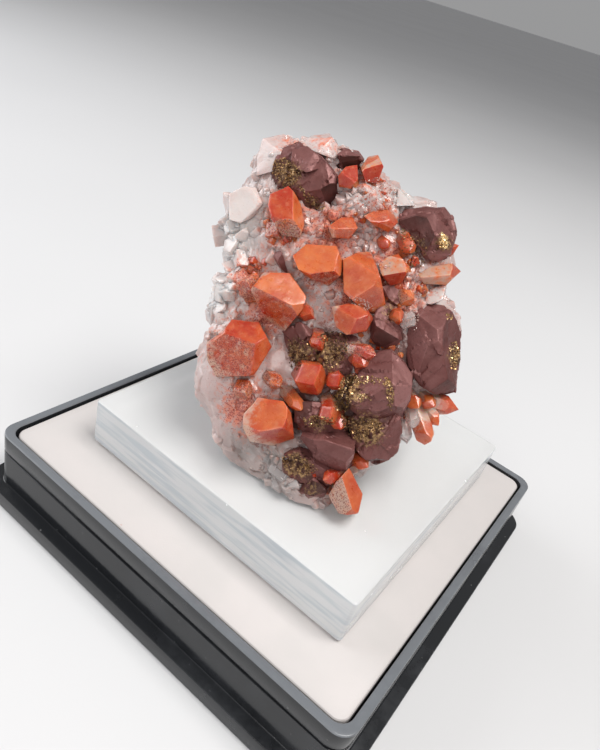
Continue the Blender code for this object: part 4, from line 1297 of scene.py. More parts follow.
# The sixth number of each face is its depth of colour, partly the crystal's own and partly painted
# facet shade: faces turned down are mostly set deeper.
LARGE_RED = (
    drawn_crystal(
        ((-6.6, 14.4), (-5.2, 15), (-4.6, 15.3), (-3.9, 14.6), (-3.2, 13.2), (-2.8, 11),
        (-3.3, 9.6), (-5.2, 9.8), (-6.5, 11.7), (-6.8, 13.2)), -5, 6,
        (-5.1, 13.2, 3, 105, 68, 0.95), (-3.7, 13, 2.6, 15, 32, 0.3, 0.05),
        (-4.9, 10.9, 3, -100, 42, 0.35, 0.9), heart=(-4.6, 13.6), reach=3.2, lean=100,
    ),
    drawn_crystal(
        ((-4.1, 7.6), (-2.6, 8.9), (0.7, 8.7), (1.4, 6.9), (1.2, 5.5), (-0.1, 4.3), (-2.2, 5.1),
        (-3.5, 6.1)), -5, 7, (-1.3, 7.4, 3.7, 95, 62, 0.3, 0.1),
        (-1.1, 5.6, 4.4, -82, 30, 0.85, 0.8), (1, 7, 3.6, 5, 34, 0.4, 0.1), heart=(-0.9, 7.2),
        reach=3.4, lean=100,
    ),
    drawn_crystal(
        ((1.4, 7.2), (3.1, 8), (4.5, 8.1), (5.6, 5.2), (6.2, 1.9), (5.4, 1), (3.5, 1.8),
        (1.5, 3.6)), -5, 7, (3.4, 5, 4, 150, 76, 0.45, 0.05), (4, 7.2, 3.4, 60, 38, 0.4, 0.1),
        (3.8, 3.6, 4.2, -65, 46, 0.6, 0.5), (5, 1.8, 3, -85, 14, 0.7, 0.3), heart=(3.8, 5),
        reach=4.6, lean=110,
    ),
    drawn_crystal(
        ((-8.7, 3.9), (-7.3, 5.8), (-4.4, 5.7), (-2.6, 3.1), (-3, 1.7), (-5, -0.7), (-7, 0.6),
        (-8, 2.3)), -5, 7.5, (-5.7, 4.3, 4.4, 66, 63, 0.35, 0.05),
        (-6, 2.7, 4.7, -118, 40, 0.7, 0.75), (-3.5, 1.6, 4.9, -30, 34, 0.75, 0.25), heart=(-5, 2.8),
        reach=3.8, lean=120,
    ),
    drawn_crystal(
        ((-13.6, -1.9), (-11.8, -0.8), (-10.8, 0.6), (-7.8, 0.3), (-6.4, -2.4), (-8.4, -5.6),
        (-12.5, -5.7), (-13.5, -3.9)), -6, 7, (-9.4, -1.3, 4.2, 88, 50, 0.7, 0.1),
        (-10.5, -3.3, 3.7, 215, 66, 0.75, 0.8), (-7.9, -3, 4.2, -28, 44, 0.6, 0.4),
        heart=(-9, -2.5), reach=4.8, lean=100,
    ),
    drawn_crystal(
        ((-9.5, -9.8), (-7.9, -8), (-5.1, -8.4), (-4.3, -9.6), (-3.9, -12.5), (-6.4, -13.3),
        (-8.8, -12.8), (-9.6, -11.3)), -6, 7, (-6.4, -9.6, 3.7, 112, 70, 0.4, 0.05),
        (-6.6, -11.6, 4.2, -82, 32, 0.85, 0.4), (-4.4, -10.5, 3.6, 8, 26, 0.65), heart=(-5, -10.9),
        reach=3.4, lean=30,
    ),
    drawn_crystal(
        ((0.2, 2), (2, 2.4), (4, 2), (4.8, 0.7), (4, -0.7), (1.8, -1.1), (0.6, -0.2)), -4, 7,
        (2.8, 1.4, 4.3, 85, 54, 0.75, 0.1), (3.5, 0.1, 4.2, -50, 48, 0.95, 0.2),
        (1.3, 0.8, 4.1, 200, 62, 0.5, 0.3), heart=(3.2, 0.4), reach=2.6, lean=160,
    ),
    drawn_crystal(
        ((5.4, 6.7), (6.3, 7.5), (7.5, 7.8), (8.8, 6.4), (7.9, 4.6), (6.6, 4.3), (5.7, 5.5)), -5, 6,
        (7, 6.6, 3, 110, 78, -0.6, 0.2), (7.4, 7.4, 2.9, 78, 34, 0.5, 0.1),
        (7.3, 5.6, 3.1, -82, 32, 0.9, 0.1), heart=(7.6, 6.4), reach=2.4, lean=100,
    ),
    drawn_crystal(
        ((3.4, 17.3), (4.2, 18.5), (5.3, 18.7), (5.9, 17.4), (5.2, 15.6), (3.9, 15.7)), -5, 4,
        (4.5, 17.9, 1, 105, 42, -0.6, 0.2), (4.6, 16.6, 1.4, -65, 56, 1, 0.1), heart=(4.7, 16.9),
        reach=2.6, lean=80,
    ),
    drawn_crystal(
        ((0.9, 16.4), (1.7, 17.4), (3, 17.6), (3.1, 16), (2.2, 15), (1, 15.2)), -5, 4,
        (2.3, 16.8, 1.6, 60, 56, 0.9, 0.2), (1.6, 15.8, 1.8, -140, 58, 0.9, 0.3), heart=(2, 16.4),
        reach=2.2, lean=80,
    ),
    drawn_crystal(
        ((3.7, 12), (5.5, 12.8), (6.9, 12.5), (7.5, 11.3), (6.4, 10.2), (4.8, 11)), -5, 5,
        (5.5, 12, 2.6, 75, 58, 0.6, 0.6), (6.4, 11.1, 2.6, -50, 54, 0.7, 0.4), heart=(6, 11.5),
        reach=2.2, lean=60,
    ),
    drawn_crystal(
        ((-0.2, 10.9), (1.2, 11.8), (2.5, 11.9), (3.1, 10.7), (2.1, 9.5), (0.2, 9.6)), -5, 5,
        (1.7, 11.2, 2.7, 80, 58, 0.5, 0.2), (1.8, 10, 2.6, -70, 50, 0.55, 0.6), heart=(2, 10.9),
        reach=2, lean=60,
    ),
    drawn_crystal(
        ((9.7, 5.6), (11.1, 6.4), (13.5, 6.8), (14.4, 5.9), (12.8, 4.4), (10.3, 4.5)), -6, 4,
        (11.7, 5.9, 0.9, 95, 52, -0.75, 0.1), (11.7, 5, 1, -85, 44, -0.5, 0.2),
        (13.7, 5.8, 0.3, 0, 34, 0.6, 0.1), heart=(13.8, 5.8), reach=2.2, lean=0,
    ),
    drawn_crystal(
        ((2.1, -15.7), (3.6, -18.6), (3, -21.2), (0.9, -20.7), (-0.2, -18.7), (0.7, -17.2)), -5, 5,
        (2.9, -18.2, 1.8, 12, 52, 0.4, 0.1), (1.1, -19.2, 2, 205, 58, -0.5, 0.8),
        (2.4, -20.8, 0.7, -80, 10, 0.4, 0.3), heart=(2.7, -18.2), reach=3, lean=100,
    ),
)


LARGE_MILKY = (
    drawn_crystal(
        ((-11.1, 14.4), (-9.4, 15.3), (-8.1, 15), (-7.4, 13.4), (-8.3, 11.9), (-9.9, 11.2),
        (-11.1, 11.6)), -6, 4, (-9.5, 13.2, 0.4, 150, 76, 0), (-8.6, 12.2, 0.5, -50, 50, 0),
        lean=100,
    ),
    drawn_crystal(
        ((-7.4, 20.5), (-5.1, 21), (-3.4, 20.2), (-5.2, 19.3), (-6.2, 16.9), (-8.1, 16.4),
        (-8, 18.4)), -6, 3, (-6.9, 18.4, -0.6, 165, 62, 0), (-5, 20.3, -1.4, 80, 50, 0), lean=80,
    ),
    drawn_crystal(
        ((-3.2, 19.8), (-2.1, 20.8), (-0.1, 21.1), (0.9, 19.8), (0.7, 18.2), (-1.3, 18.9)), -6, 3,
        (-1.7, 20.3, -0.6, 110, 56, 0), (0.1, 19.5, -0.4, 10, 58, 0), lean=80,
    ),
    drawn_crystal(
        ((7.3, 13.1), (7.5, 15), (8.4, 14.4), (10, 13.6), (9.7, 13.1)), -6, 3,
        (8.3, 14, -0.6, 80, 48, 0), lean=80,
    ),
    drawn_crystal(
        ((10.3, 2.4), (11.1, 4), (12.8, 4.5), (12.4, 2.9), (11.4, 2.2)), -6, 3,
        (11.4, 3.5, 0, 120, 58, 0), lean=80,
    ),
)


SMALL_RED = small_crystals(
    (-1.7, -6.5, 4.8, -60, 72, 1.9, 10, 0, THREE, 0.75, 0.3),
    (0.9, -6.7, 4, -70, 66, 1.1, 9, 15, THREE, 0.75, 0.4),
    (-1.1, -2.2, 3.8, -80, 70, 1.1, 8, 0, THREE, 0.8, 0.6),
    (5.1, -3.3, 4.6, -15, 40, 0.9, 8, 0, POINT, 0.85, 0.6),
    (3.8, -4.6, 4.6, -70, 60, 1.2, 8, 20, POINT, 0.85, 0.6),
    (0, -10.4, 4.9, -85, 66, 1.1, 9, 10, THREE, 0.75, 0.4),
    (1.2, -11.5, 4.6, -75, 54, 0.8, 8, 0, POINT, 0.8, 0.4),
    (8.9, 7.9, 2.3, -80, 46, 0.9, 6, 0, POINT, 0.6, 0.3),
    (6.4, 8.6, 2, -60, 56, 0.7, 5, 0, POINT, 0.7, 0.2),
    (-2.1, 1.3, 3.6, -20, 64, 0.95, 7, 24, THREE, 0.7, 0.5),
    (7.8, 0.4, 3.2, -70, 64, 0.9, 7, 0, POINT, 0.6, 0.3),
    (-0.8, -17, 2.9, 190, 46, 0.8, 6, 0, POINT, 0.9, 0.3),
    (4.2, -15.7, 2.2, -36, 50, 0.8, 8.5, 0, POINT, 0.65, 0.1),
    (-3.1, -9.4, 3.4, -50, 48, 0.9, 7, 30, POINT, 0.2, 0.3),
    (-9.3, -7.4, 3, -40, 70, 1.2, 6, 0, THREE, 0.4, 0.9),
    (-5.5, -6.6, 3, -35, 60, 0.9, 6, 0, POINT, 0.2, 0.8),
    (-9.2, 5, 2.9, 120, 70, 1.5, 6, 0, THREE, 0.35, 0.85),
    (-5.8, 10, 2.3, -70, 66, 1.3, 6, 20, THREE, 0.3, 0.9),
    (9.3, 2.9, 2.6, -20, 60, 1, 6, 0, POINT, -0.2, 0.5),
    (14.2, 8.8, -1.6, 20, 16, 0.8, 5, 0, POINT, 0.5, 0.3),
    (10.8, -13, -0.6, -72, 18, 1.2, 7, 30, CHISEL, 0.5, 0.1, 2.4),
    (12.2, -11.1, -1.2, -50, 20, 0.9, 6, 30, POINT, 0.4, 0.1, 1.7),
    (14.2, -9.3, -1.6, -16, 16, 1.2, 7.5, 0, POINT, 0.7, 0.1, 2.4),
    (9.8, -9.2, 1.2, -60, 50, 0.9, 7, 0, POINT, 0.5, 0.1, 1.8),
    (11.6, -9, 0.2, -40, 50, 0.9, 7, 10, POINT, 0.6, 0.1, 1.8),
)


SMALL_MILKY = small_crystals(
    (-10, 9.8, -0.6, 160, 60, 1.1, 6, 0, THREE),
    (-9.6, 8, -0.4, -20, 64, 1, 6, 30, THREE),
    (-11.6, 5.4, -1.6, 170, 48, 0.9, 5, 0, POINT),
    (-12.6, 3, -2.4, 190, 44, 1.1, 6, 30, THREE),
    (4.7, 14.8, 2.7, 100, 62, 1.8, 7, 10, THREE),
    (2.9, 13.6, 2.4, 140, 66, 1.3, 6, 25, THREE),
    (6.6, 13.4, 2, 40, 58, 1.3, 6, 0, THREE),
    (-8.2, 10.6, 0.9, 150, 66, 1.2, 6, 12, THREE),
    (-6.4, 8, 1.6, 120, 70, 1.1, 6, 40, THREE),
    (-12.4, 1.2, -2, 185, 46, 1.2, 6, 15, THREE),
    (-10.9, 7.4, -1.2, 175, 50, 1.1, 6, 0, CHISEL),
    (-11.3, 11, -1, 178, 44, 1, 6, 0, CHISEL),
    (-10.9, 9.5, -0.7, 182, 48, 1.1, 6, 20, CHISEL),
    (-10.4, 8, -0.4, 176, 52, 1, 6, 40, CHISEL),
    (-11.6, 6.4, -0.8, 184, 46, 1.1, 6, 10, CHISEL),
    (-12.4, 5, -1.4, 180, 40, 1, 6, 30, CHISEL),
    (-12.9, 3.6, -1.7, 176, 40, 1.1, 6, 0, CHISEL),
    (-13, 2.3, -1.8, 186, 40, 0.9, 5, 20, CHISEL),
    (-10, 10.3, 0.2, 150, 60, 0.9, 5, 0, CHISEL),
    (-11.2, 4.5, -0.3, 170, 56, 0.9, 5, 15, CHISEL),
    tint=0.0, speckle=0.0,
)


SMALL_CLEAR = small_crystals(
    (-3.3, -17.9, 1.2, -30, 32, 0.8, 5, 0, POINT, 0.1, 0.1),
    (9.3, -11.5, 0.6, -86, 34, 0.8, 5.4, 0, POINT, 0.4, 0.1),
    (8.5, -13.1, -1.6, -82, 14, 0.8, 6.2, 24, POINT, 0, 0.1),
    (9.4, 0.9, 3.4, 20, 60, 0.9, 7, 0, THREE, 0.1, 0.1),
    (-5.4, -18.6, -0.4, -70, 20, 0.8, 5, 0, POINT, 0.1, 0.1),
)


# The sixth number of each face is its painted sheen: faces turned up and to the right, towards the
# light, are set high and painted mauve, faces turned down are set low and painted dark.
CHALCOPYRITE = {
    "chalcopyrite_top": (
        drawn_crystal(
            ((-5.4, 19.3), (-6.4, 16.6), (-5.6, 15.2), (-4.4, 15), (-2.8, 13.1), (-1.1, 12.4),
            (0.8, 13.8), (0.9, 16.4), (-0.9, 18.6), (-3.3, 20)), -5, 4,
            (-2.6, 17.8, 1.9, 115, 62, 0.35), (-0.6, 15.6, 1.9, 5, 66, 0.8),
            (-1.1, 14.5, 2, -78, 20, 0), (-4.6, 17, 1.1, 195, 48, 0.2),
        ),
        drawn_crystal(
            ((-4.2, 19.4), (-2.5, 19.75), (-1, 18.6), (-0.7, 17.2), (-2.6, 16.7), (-4.3, 17.3)), -3,
            4, (-2.6, 17.8, 2.4, 112, 66, 0.55), (-1.2, 17.6, 2.3, -20, 48, 0.8),
        ),
    ),
    "chalcopyrite_crest": (
        drawn_crystal(
            ((0.8, 19.3), (0.7, 17.9), (1.2, 16.9), (3.2, 17.1), (3.9, 18.2), (3.2, 19.2),
            (1.7, 19.45)), -5, 2, (2.2, 18.7, 0.6, 80, 54, 0.6), (2, 18.3, 0.7, -80, 24, 0.1),
        ),
    ),
    "chalcopyrite_shoulder": (
        drawn_crystal(
            ((7.4, 12.2), (7.5, 10.6), (8.2, 9.4), (9.6, 8.8), (10.2, 7.2), (11.8, 6.8),
            (13.2, 7.8), (13.9, 9.6), (13.4, 11.8), (12.6, 12.9), (10.6, 13.1), (8.2, 12.9)), -6, 4,
            (9.4, 10.6, 1.3, 205, 62, 0.1), (12.3, 10.4, 1.1, 22, 50, 0.5),
            (11, 7.8, 1.2, -80, 38, 0.15), (10.6, 12.4, 1.2, 85, 40, 0.4),
        ),
    ),
    "chalcopyrite_right": (
        drawn_crystal(
            ((8.8, 0.4), (8.4, -1.6), (8.7, -4.6), (9.8, -6.2), (12.2, -7.7), (13.8, -7.4),
            (14.2, -4.4), (14.1, -2.2), (14.4, -0.6), (13.4, 1.4), (12.6, 2.3), (10.8, 2.4),
            (9.8, 1.8)), -8, 5, (10.9, -3.2, 2.3, -125, 70, 0.35), (11.8, 0.6, 1.5, 72, 46, 0.55),
            (13.2, -3, 0.9, 4, 34, 0.3), (12.8, -6.8, 0.4, -70, 30, 0.2),
        ),
    ),
    "chalcopyrite_core": (
        drawn_crystal(
            ((6.7, -2.7), (5.4, -3), (4.2, -4.2), (3, -5.6), (2.3, -7), (2.4, -9.4), (3.4, -10.4),
            (6.1, -10.6), (8, -9.9), (8.8, -8.3), (9, -5.5), (8.1, -4.1)), -4, 7,
            (8, -4.8, 3.9, 35, 46, 0.8), (4.9, -4.6, 3.9, 125, 50, 0.45),
            (6, -8.2, 5.2, -75, 62, 0.5), (5.6, -10.2, 4.4, -92, 12, 0),
        ),
        drawn_crystal(
            ((2.2, -10.6), (3.2, -9.6), (7.6, -9.8), (7.9, -11.8), (7.3, -13.8), (6.5, -14.9),
            (5, -15.5), (3.9, -14.9), (2.6, -13.4)), -5, 5, (5.4, -13.2, 2.7, -40, 52, 0.4),
            (3.6, -12.6, 3.1, 190, 56, 0.35), (5, -14.9, 1.6, -88, 14, 0),
        ),
        drawn_crystal(
            ((-3.8, -8.4), (-1.3, -8.4), (1.1, -9.2), (2.3, -11.4), (0.2, -12.5), (-3, -12),
            (-4, -10.6)), -5, 6, (-1.2, -10.2, 3.7, -95, 70, 0.35), (1, -10.6, 3.8, -20, 58, 0.55),
            (-3, -9.6, 3.3, 150, 56, 0.1),
        ),
        drawn_crystal(
            ((-3.3, -12.4), (-2.8, -11.4), (-1, -11.7), (1.6, -11.6), (2.8, -12.6), (2.6, -14.6),
            (1.8, -15.8), (0.6, -16.1), (-1.1, -15.3), (-2.2, -14.2)), -3, 6,
            (-0.3, -14, 3.7, -105, 64, 0.5), (-0.3, -12.2, 3.9, 92, 48, 0.5),
        ),
    ),
    "chalcopyrite_middle": (
        drawn_crystal(
            ((-0.4, -0.9), (1.7, -1), (3, -1.4), (2.5, -3.9), (2.2, -5.6), (0.6, -6), (-0.8, -6.4),
            (-1.4, -4), (-1.2, -2)), -3, 5, (1.4, -3, 2.7, -15, 68, 0.6),
            (0.4, -5.4, 2.5, -95, 52, 0.3), (0.6, -1.4, 2.5, 95, 46, 0.5),
        ),
        drawn_crystal(
            ((-3.2, 0.4), (-5.2, -0.8), (-5, -2.4), (-3.6, -4.6), (-2, -5.4), (-0.6, -4.8),
            (-0.6, -1.2), (-2.2, -0.4)), -3, 5, (-3, -2.2, 2.4, 205, 64, 0.3),
            (-1.6, -2.4, 2.4, 0, 70, 0.5), (-2.4, -4.4, 2.1, -95, 50, 0.1),
        ),
    ),
    "chalcopyrite_foot": (
        drawn_crystal(
            ((-5.3, -14.9), (-5.1, -16.1), (-4.2, -16.9), (-2.2, -17.8), (-1.6, -16.8), (-1, -15.9),
            (-2, -15), (-3.3, -14.6)), -4, 4, (-3.7, -16, 1.8, -120, 56, 0.3),
            (-1.9, -16.4, 1.8, 15, 48, 0.5), (-3.4, -15, 2, 88, 40, 0.2),
        ),
        drawn_crystal(
            ((-3.4, -18.7), (-2.9, -17.4), (-1.8, -16.8), (-0.2, -18.2), (-0.6, -18.9),
            (-1.9, -19.7), (-3, -19.4)), -4, 3, (-1.8, -18.6, 1.1, -75, 44, 0.1),
            (-2.8, -18, 1, 170, 46, 0.1),
        ),
        drawn_crystal(
            ((-5, -14.2), (-3.6, -13.3), (-1.5, -13.7), (0.2, -15.2), (0.3, -17.2), (-0.9, -18.6),
            (-2.4, -17.6), (-3.4, -15.8)), -4, 4, (-2, -15.2, 2.3, -110, 58, 0.4),
            (-0.6, -16.2, 2.2, 10, 52, 0.6), (-1.4, -17.4, 1.9, -80, 34, 0.05),
        ),
    ),
    "chalcopyrite_inner": (
        drawn_crystal(
            ((5.6, 4.2), (5.9, 2.4), (7, 1.7), (8, 2.8), (7.8, 4.2), (6.8, 4.6)), -4, 4,
            (6.9, 3.6, 1.8, 20, 60, 0.4), (6.4, 2.2, 1.5, -110, 40, 0.2),
        ),
        drawn_crystal(
            ((4.6, 0.4), (4.2, -1.4), (5.2, -2.4), (6.9, -2.5), (7.9, -1.6), (7.8, 0.8), (7, 2.3),
            (5.7, 2.4)), -4, 4.5, (6.4, 0.6, 2.3, 40, 60, 0.4), (5.6, -1.6, 2.2, -105, 50, 0.2),
        ),
    ),
    "chalcopyrite_wedge": (
        drawn_crystal(
            ((-6.4, 8), (-6.1, 7), (-5.2, 6), (-4.5, 5.4), (-4.9, 6.8), (-5.3, 8.3)), -2, 4,
            (-5.4, 7, 2.1, -60, 62, 0.3), (-5.9, 7.6, 2, 150, 50, 0.3),
        ),
    ),
    "chalcopyrite_ledge": (
        drawn_crystal(
            ((-10.2, -11.8), (-9.4, -13.2), (-8.6, -14), (-7.2, -13.4), (-4.6, -12.8),
            (-4.8, -11.6)), -5, 2.5, (-8, -12.8, 0.4, -110, 46, 0), (-9.2, -12.2, 0.2, 150, 50, 0),
        ),
    ),
}


DARK_ROWS = [row for rows in CHALCOPYRITE.values() for row in rows]


def halos() -> list[Patch]:
    """Gives a soft patch under each large red crystal, which stains the quartz round it."""
    made = []
    for row in LARGE_RED:
        corners = np.array(row.outline)
        middle = corners.mean(axis=0)
        reach = float(np.linalg.norm(corners - middle, axis=1).mean())
        made.append(Patch(float(middle[0]), float(middle[1]), 1.15 * reach, 0.65))
    return made


def stain_and_shade(shape: bmesh.types.BMesh) -> None:
    """Writes how white, grey and rosy each point is, and how much painted shade it gets, for the
    milky finish.
    """
    points = places(shape)
    front = np.clip((points[:, 2] + 9.0) / 5.0, 0.0, 1.0)
    for name, drawn in MATRIX_COLOURS.items():
        layer = shape.verts.layers.float.new(name)
        spots = [*drawn, *(halos() if name == "rosy" else [])]
        values = sum(patch.over(points[:, 0], points[:, 1]) for patch in spots) * front
        values = np.clip(values + (1.0 - front) * BACK_COLOURS[name], 0.0, 1.0)
        for vertex, value in zip(shape.verts, values):
            vertex[layer] = float(value)


@dataclass
class QuartzCrystals:
    """Every quartz crystal that stands on the matrix: red, milky and clear."""

    large: tuple[DrawnCrystal, ...] = LARGE_RED
    small: tuple[SmallCrystal, ...] = SMALL_RED
    milky: tuple[DrawnCrystal, ...] = LARGE_MILKY
    small_milky: tuple[SmallCrystal, ...] = SMALL_MILKY
    clear: tuple[SmallCrystal, ...] = SMALL_CLEAR
    edge: float = 0.07
    coarse: float = 0.9
    seed: int = 41
    shapes: dict[str, bmesh.types.BMesh] = field(default_factory=dict)

    def grow(self, surface: BVHTree) -> None:
        """Makes the crystals in picture plane millimetres, with points all over the matrix."""
        dice = random.Random(self.seed)
        points = joined([self.sixsided(row, dice, self.coarse) for row in matrix_points(surface)])
        stain_and_shade(points)
        self.shapes["matrix_points"] = points
        red = [
            point_on(place, normal, region.size * dice.uniform(0.6, 1.4), dice)
            for region in RED_POINT_REGIONS
            for place, normal in Scatter(surface).hits(region, dice)
        ]
        red = [
            replace(row, tint=dice.uniform(0.2, 0.95), speckle=dice.uniform(0.0, 0.6))
            for row in red
        ]
        self.shapes["red_points"] = joined([self.sixsided(row, dice, self.coarse) for row in red])
        self.shapes["large_red_crystals"] = joined([self.drawn(row, dice, 2) for row in self.large])
        self.shapes["small_red_crystals"] = joined([self.sixsided(row, dice) for row in self.small])
        milky = [self.drawn(row, dice, 3) for row in self.milky]
        milky += [self.sixsided(row, dice) for row in self.small_milky]
        self.shapes["milky_crystals"] = joined(milky)
        stain_and_shade(self.shapes["milky_crystals"])
        self.shapes["clear_crystals"] = joined([self.sixsided(row, dice) for row in self.clear])

    def drawn(self, row: DrawnCrystal, dice: random.Random, chips: int) -> bmesh.types.BMesh:
        """Makes one large crystal."""
        shape = row.shape()
        across = sum(corner[0] for corner in row.outline) / len(row.outline)
        up = sum(corner[1] for corner in row.outline) / len(row.outline)
        heart = PicturePlane.sight(*(row.heart or (across, up)), row.facets[0].out)
        lean = PicturePlane.facing(row.lean, 20)
        dress_crystal(shape, dice, lean, chips, self.edge)
        fade_to_milk(shape, heart, row.reach)
        return shape

    def sixsided(self, row: SmallCrystal, dice: random.Random,
                 fine: float = 0.45) -> bmesh.types.BMesh:
        """Makes one small crystal, whose mesh has edges no longer than a given length."""
        shape = row.shape()
        axis = PicturePlane.facing(row.heading, row.rise)
        dress_crystal(shape, dice, axis, 1, min(self.edge, 0.08 * row.radius), 0.03, fine)
        reach = row.reach or 2.6 * row.radius + 0.8
        fade_to_milk(shape, PicturePlane.sight(row.across, row.up, row.out), reach)
        return shape

    def dress(self, finishes: Finishes) -> None:
        """Turns the shapes into pieces with their finishes."""
        looks = {
            "large_red_crystals": finishes.red, "small_red_crystals": finishes.red,
            "milky_crystals": finishes.milky, "clear_crystals": finishes.clear,
            "matrix_points": finishes.milky, "red_points": finishes.red,
        }
        for name, shape in self.shapes.items():
            shape.transform(PicturePlane.to_frame())
            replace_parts(new_piece(name, shape, looks[name], Slot.QUARTZ), "quartz")


@dataclass
class QuartzMatrix:
    """The milky quartz body that carries the crystals, with its broken back and flat foot."""

    detail: int = 7
    rim_out: float = -4.4
    face_rise: float = 5.2
    back_depth: float = 22.0
    squareness: float = 0.72
    rough_size: float = 3.4
    rough_height: float = 0.55
    heart: Vector = field(default_factory=lambda: Vector((-0.5, -2.0, -8.0)))
    shape: bmesh.types.BMesh | None = None

    def stretch(self, ball: np.ndarray) -> np.ndarray:
        """Stretches points of the unit ball into the body.

        Args:
            ball: the points, one row each.

        Returns:
            The body's points in picture plane millimetres.
        """
        outline = np.array(OUTLINE)
        turns = np.arctan2(outline[:, 1], outline[:, 0])
        reaches = np.hypot(outline[:, 0], outline[:, 1])
        turn = np.arctan2(ball[:, 1], ball[:, 0])
        reach = np.interp(turn, turns, reaches, period=2 * math.pi)
        reach = reach * np.hypot(ball[:, 0], ball[:, 1]) ** self.squareness
        across, up = reach * np.cos(turn), reach * np.sin(turn)
        lift = np.abs(ball[:, 2]) ** self.squareness
        swell = sum(lump.over(across, up) for lump in LUMPS)
        rough = np.array([
            noise.noise(Vector((a, u, 0.0)) / self.rough_size) for a, u in zip(across, up)
        ])
        small = druse_height(across, up) * np.clip(lift * 1.6, 0.0, 1.0)
        front = self.rim_out + lift * (self.face_rise + swell + rough * self.rough_height) + small
        front = sink_sockets(across, up, front)
        out = np.where(ball[:, 2] < 0, self.rim_out - self.back_depth * lift, front)
        seen_out = np.where(ball[:, 2] < 0, self.rim_out, front)
        eye = PicturePlane.eye
        shrink = (eye.z - seen_out) / eye.z
        seen = (eye.x + (across - eye.x) * shrink, eye.y + (up - eye.y) * shrink, out)
        return np.stack(seen, axis=1)

    def press(self, points: np.ndarray, planes: list[tuple[Vector, Vector]]) -> np.ndarray:
        """Pulls points that lie outside some planes back onto them, towards the body's heart.

        Args:
            points: one row each.
            planes: a point and the outward normal of each plane.

        Returns:
            The moved points.
        """
        heart = np.array(self.heart)
        ray = points - heart
        share = np.ones(len(points))
        for place, outside in planes:
            facing = ray @ np.array(outside)
            room = float((place - self.heart).dot(outside))
            limit = np.where(facing > 1e-6, room / np.maximum(facing, 1e-6), np.inf)
            share = np.minimum(share, limit)
        return heart + ray * share[:, None]

    def planes(self) -> list[tuple[Vector, Vector]]:
        """Gives the broken faces of the back and the level of the foot."""
        breaks = [
            (Vector((cut.across, cut.up, cut.out)), PicturePlane.facing(cut.heading, cut.rise))
            for cut in BACK_BREAKS
        ]
        return breaks + [PicturePlane.foot()]

    def grow(self) -> None:
        """Makes the body: stretched, broken at its back, then broken up into small faces."""
        shape = bmesh.new()
        bmesh.ops.create_icosphere(shape, subdivisions=self.detail, radius=1.0)
        points = self.press(self.stretch(places(shape)), self.planes())
        move_to(shape, points)
        normals = facings(shape)
        coarse = broken_steps(points, 3.0, 0.26, 0.22, 5)
        fine = broken_steps(points, 1.2, 0.22, 0.05, 6)
        bold = self.boldness(points)
        moved = points + normals * (coarse * bold + fine * (0.35 + 0.65 * bold))[:, None]
        move_to(shape, self.press(moved, self.planes()[-1:]))
        stain_and_shade(shape)
        self.shape = shape

    def boldness(self, points: np.ndarray) -> np.ndarray:
        """Says how strongly each point is broken up: little on the smooth swellings of the face."""
        front = np.clip((points[:, 2] + 5.0) / 5.0, 0.0, 1.0)
        smooth = sum(patch.over(points[:, 0], points[:, 1]) for patch in SMOOTH_PATCHES)
        return (1.0 - 0.55 * front) * (1.0 - np.clip(smooth, 0.0, 0.92) * np.clip(front * 3, 0, 1))

    def dress(self, finishes: Finishes) -> None:
        """Turns the body into a piece with its finish."""
        self.shape.transform(PicturePlane.to_frame())
        piece = new_piece(
            "quartz_matrix", self.shape, finishes.milky, Slot.QUARTZ, BROKEN_ANGLE
        )
        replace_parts(piece, "quartz")


def sink_sockets(across: np.ndarray, up: np.ndarray, front: np.ndarray) -> np.ndarray:
    """Lowers the face of the matrix under each chalcopyrite crystal.

    Args:
        across: places on the picture plane.
        up: the same.
        front: how far out the face stands.

    Returns:
        How far out it stands with the sockets.
    """
    for row in DARK_ROWS:
        corners = np.array(row.outline)
        within = np.zeros(len(across), dtype=bool)
        for one, two in zip(corners, np.roll(corners, -1, axis=0)):
            crosses = (one[1] > up) != (two[1] > up)
            slope = (two[0] - one[0]) / (two[1] - one[1] + 1e-9)
            within ^= crosses & (across < slope * (up - one[1]) + one[0])
        level = np.full(len(across), row.front)
        for facet in row.facets:
            way = PicturePlane.facing(facet.heading, facet.rise)
            fall = (way.x * (across - facet.across) + way.y * (up - facet.up)) / way.z
            level = np.minimum(level, facet.out - fall)
        front = np.where(within, np.minimum(front, level - SOCKET_ROOM), front)
    return front


def druse_height(across: np.ndarray, up: np.ndarray) -> np.ndarray:
    """Gives the height of the small crystal points that cover the face of the matrix.

    Args:
        across: places on the picture plane.
        up: the same.

    Returns:
        Their heights, in millimetres.
    """
    dice = random.Random(17)
    pitch = 1.25
    height = np.zeros(len(across))
    for row in range(-17, 18):
        for column in range(-13, 13):
            middle_across = (column + 0.5 * (row % 2) + dice.uniform(-0.4, 0.4)) * pitch
            middle_up = (row + dice.uniform(-0.4, 0.4)) * pitch
            radius, turn = dice.uniform(0.5, 1.15), dice.uniform(0, 60)
            slope = dice.uniform(0.45, 0.95)
            shift_across, shift_up = dice.uniform(-0.3, 0.3), dice.uniform(-0.3, 0.3)
            beside = np.abs(across - middle_across) < radius * 1.3
            near = beside & (np.abs(up - middle_up) < radius * 1.3)
            if not near.any():
                continue
            dx, dy = across[near] - middle_across, up[near] - middle_up
            angles = [math.radians(turn + 60 * side) for side in range(6)]
            tall = radius * slope
            tip = np.min([
                tall * (1 - (dx * math.cos(a) + dy * math.sin(a)) / radius
                        * (1 + shift_across * math.cos(a) + shift_up * math.sin(a)))
                for a in angles
            ], axis=0)
            height[near] = np.maximum(height[near], np.minimum(tip, tall * 0.92))
    return height * np.clip(0.28 + sum(patch.over(across, up) for patch in DRUSE_PATCHES), 0.0, 1.0)


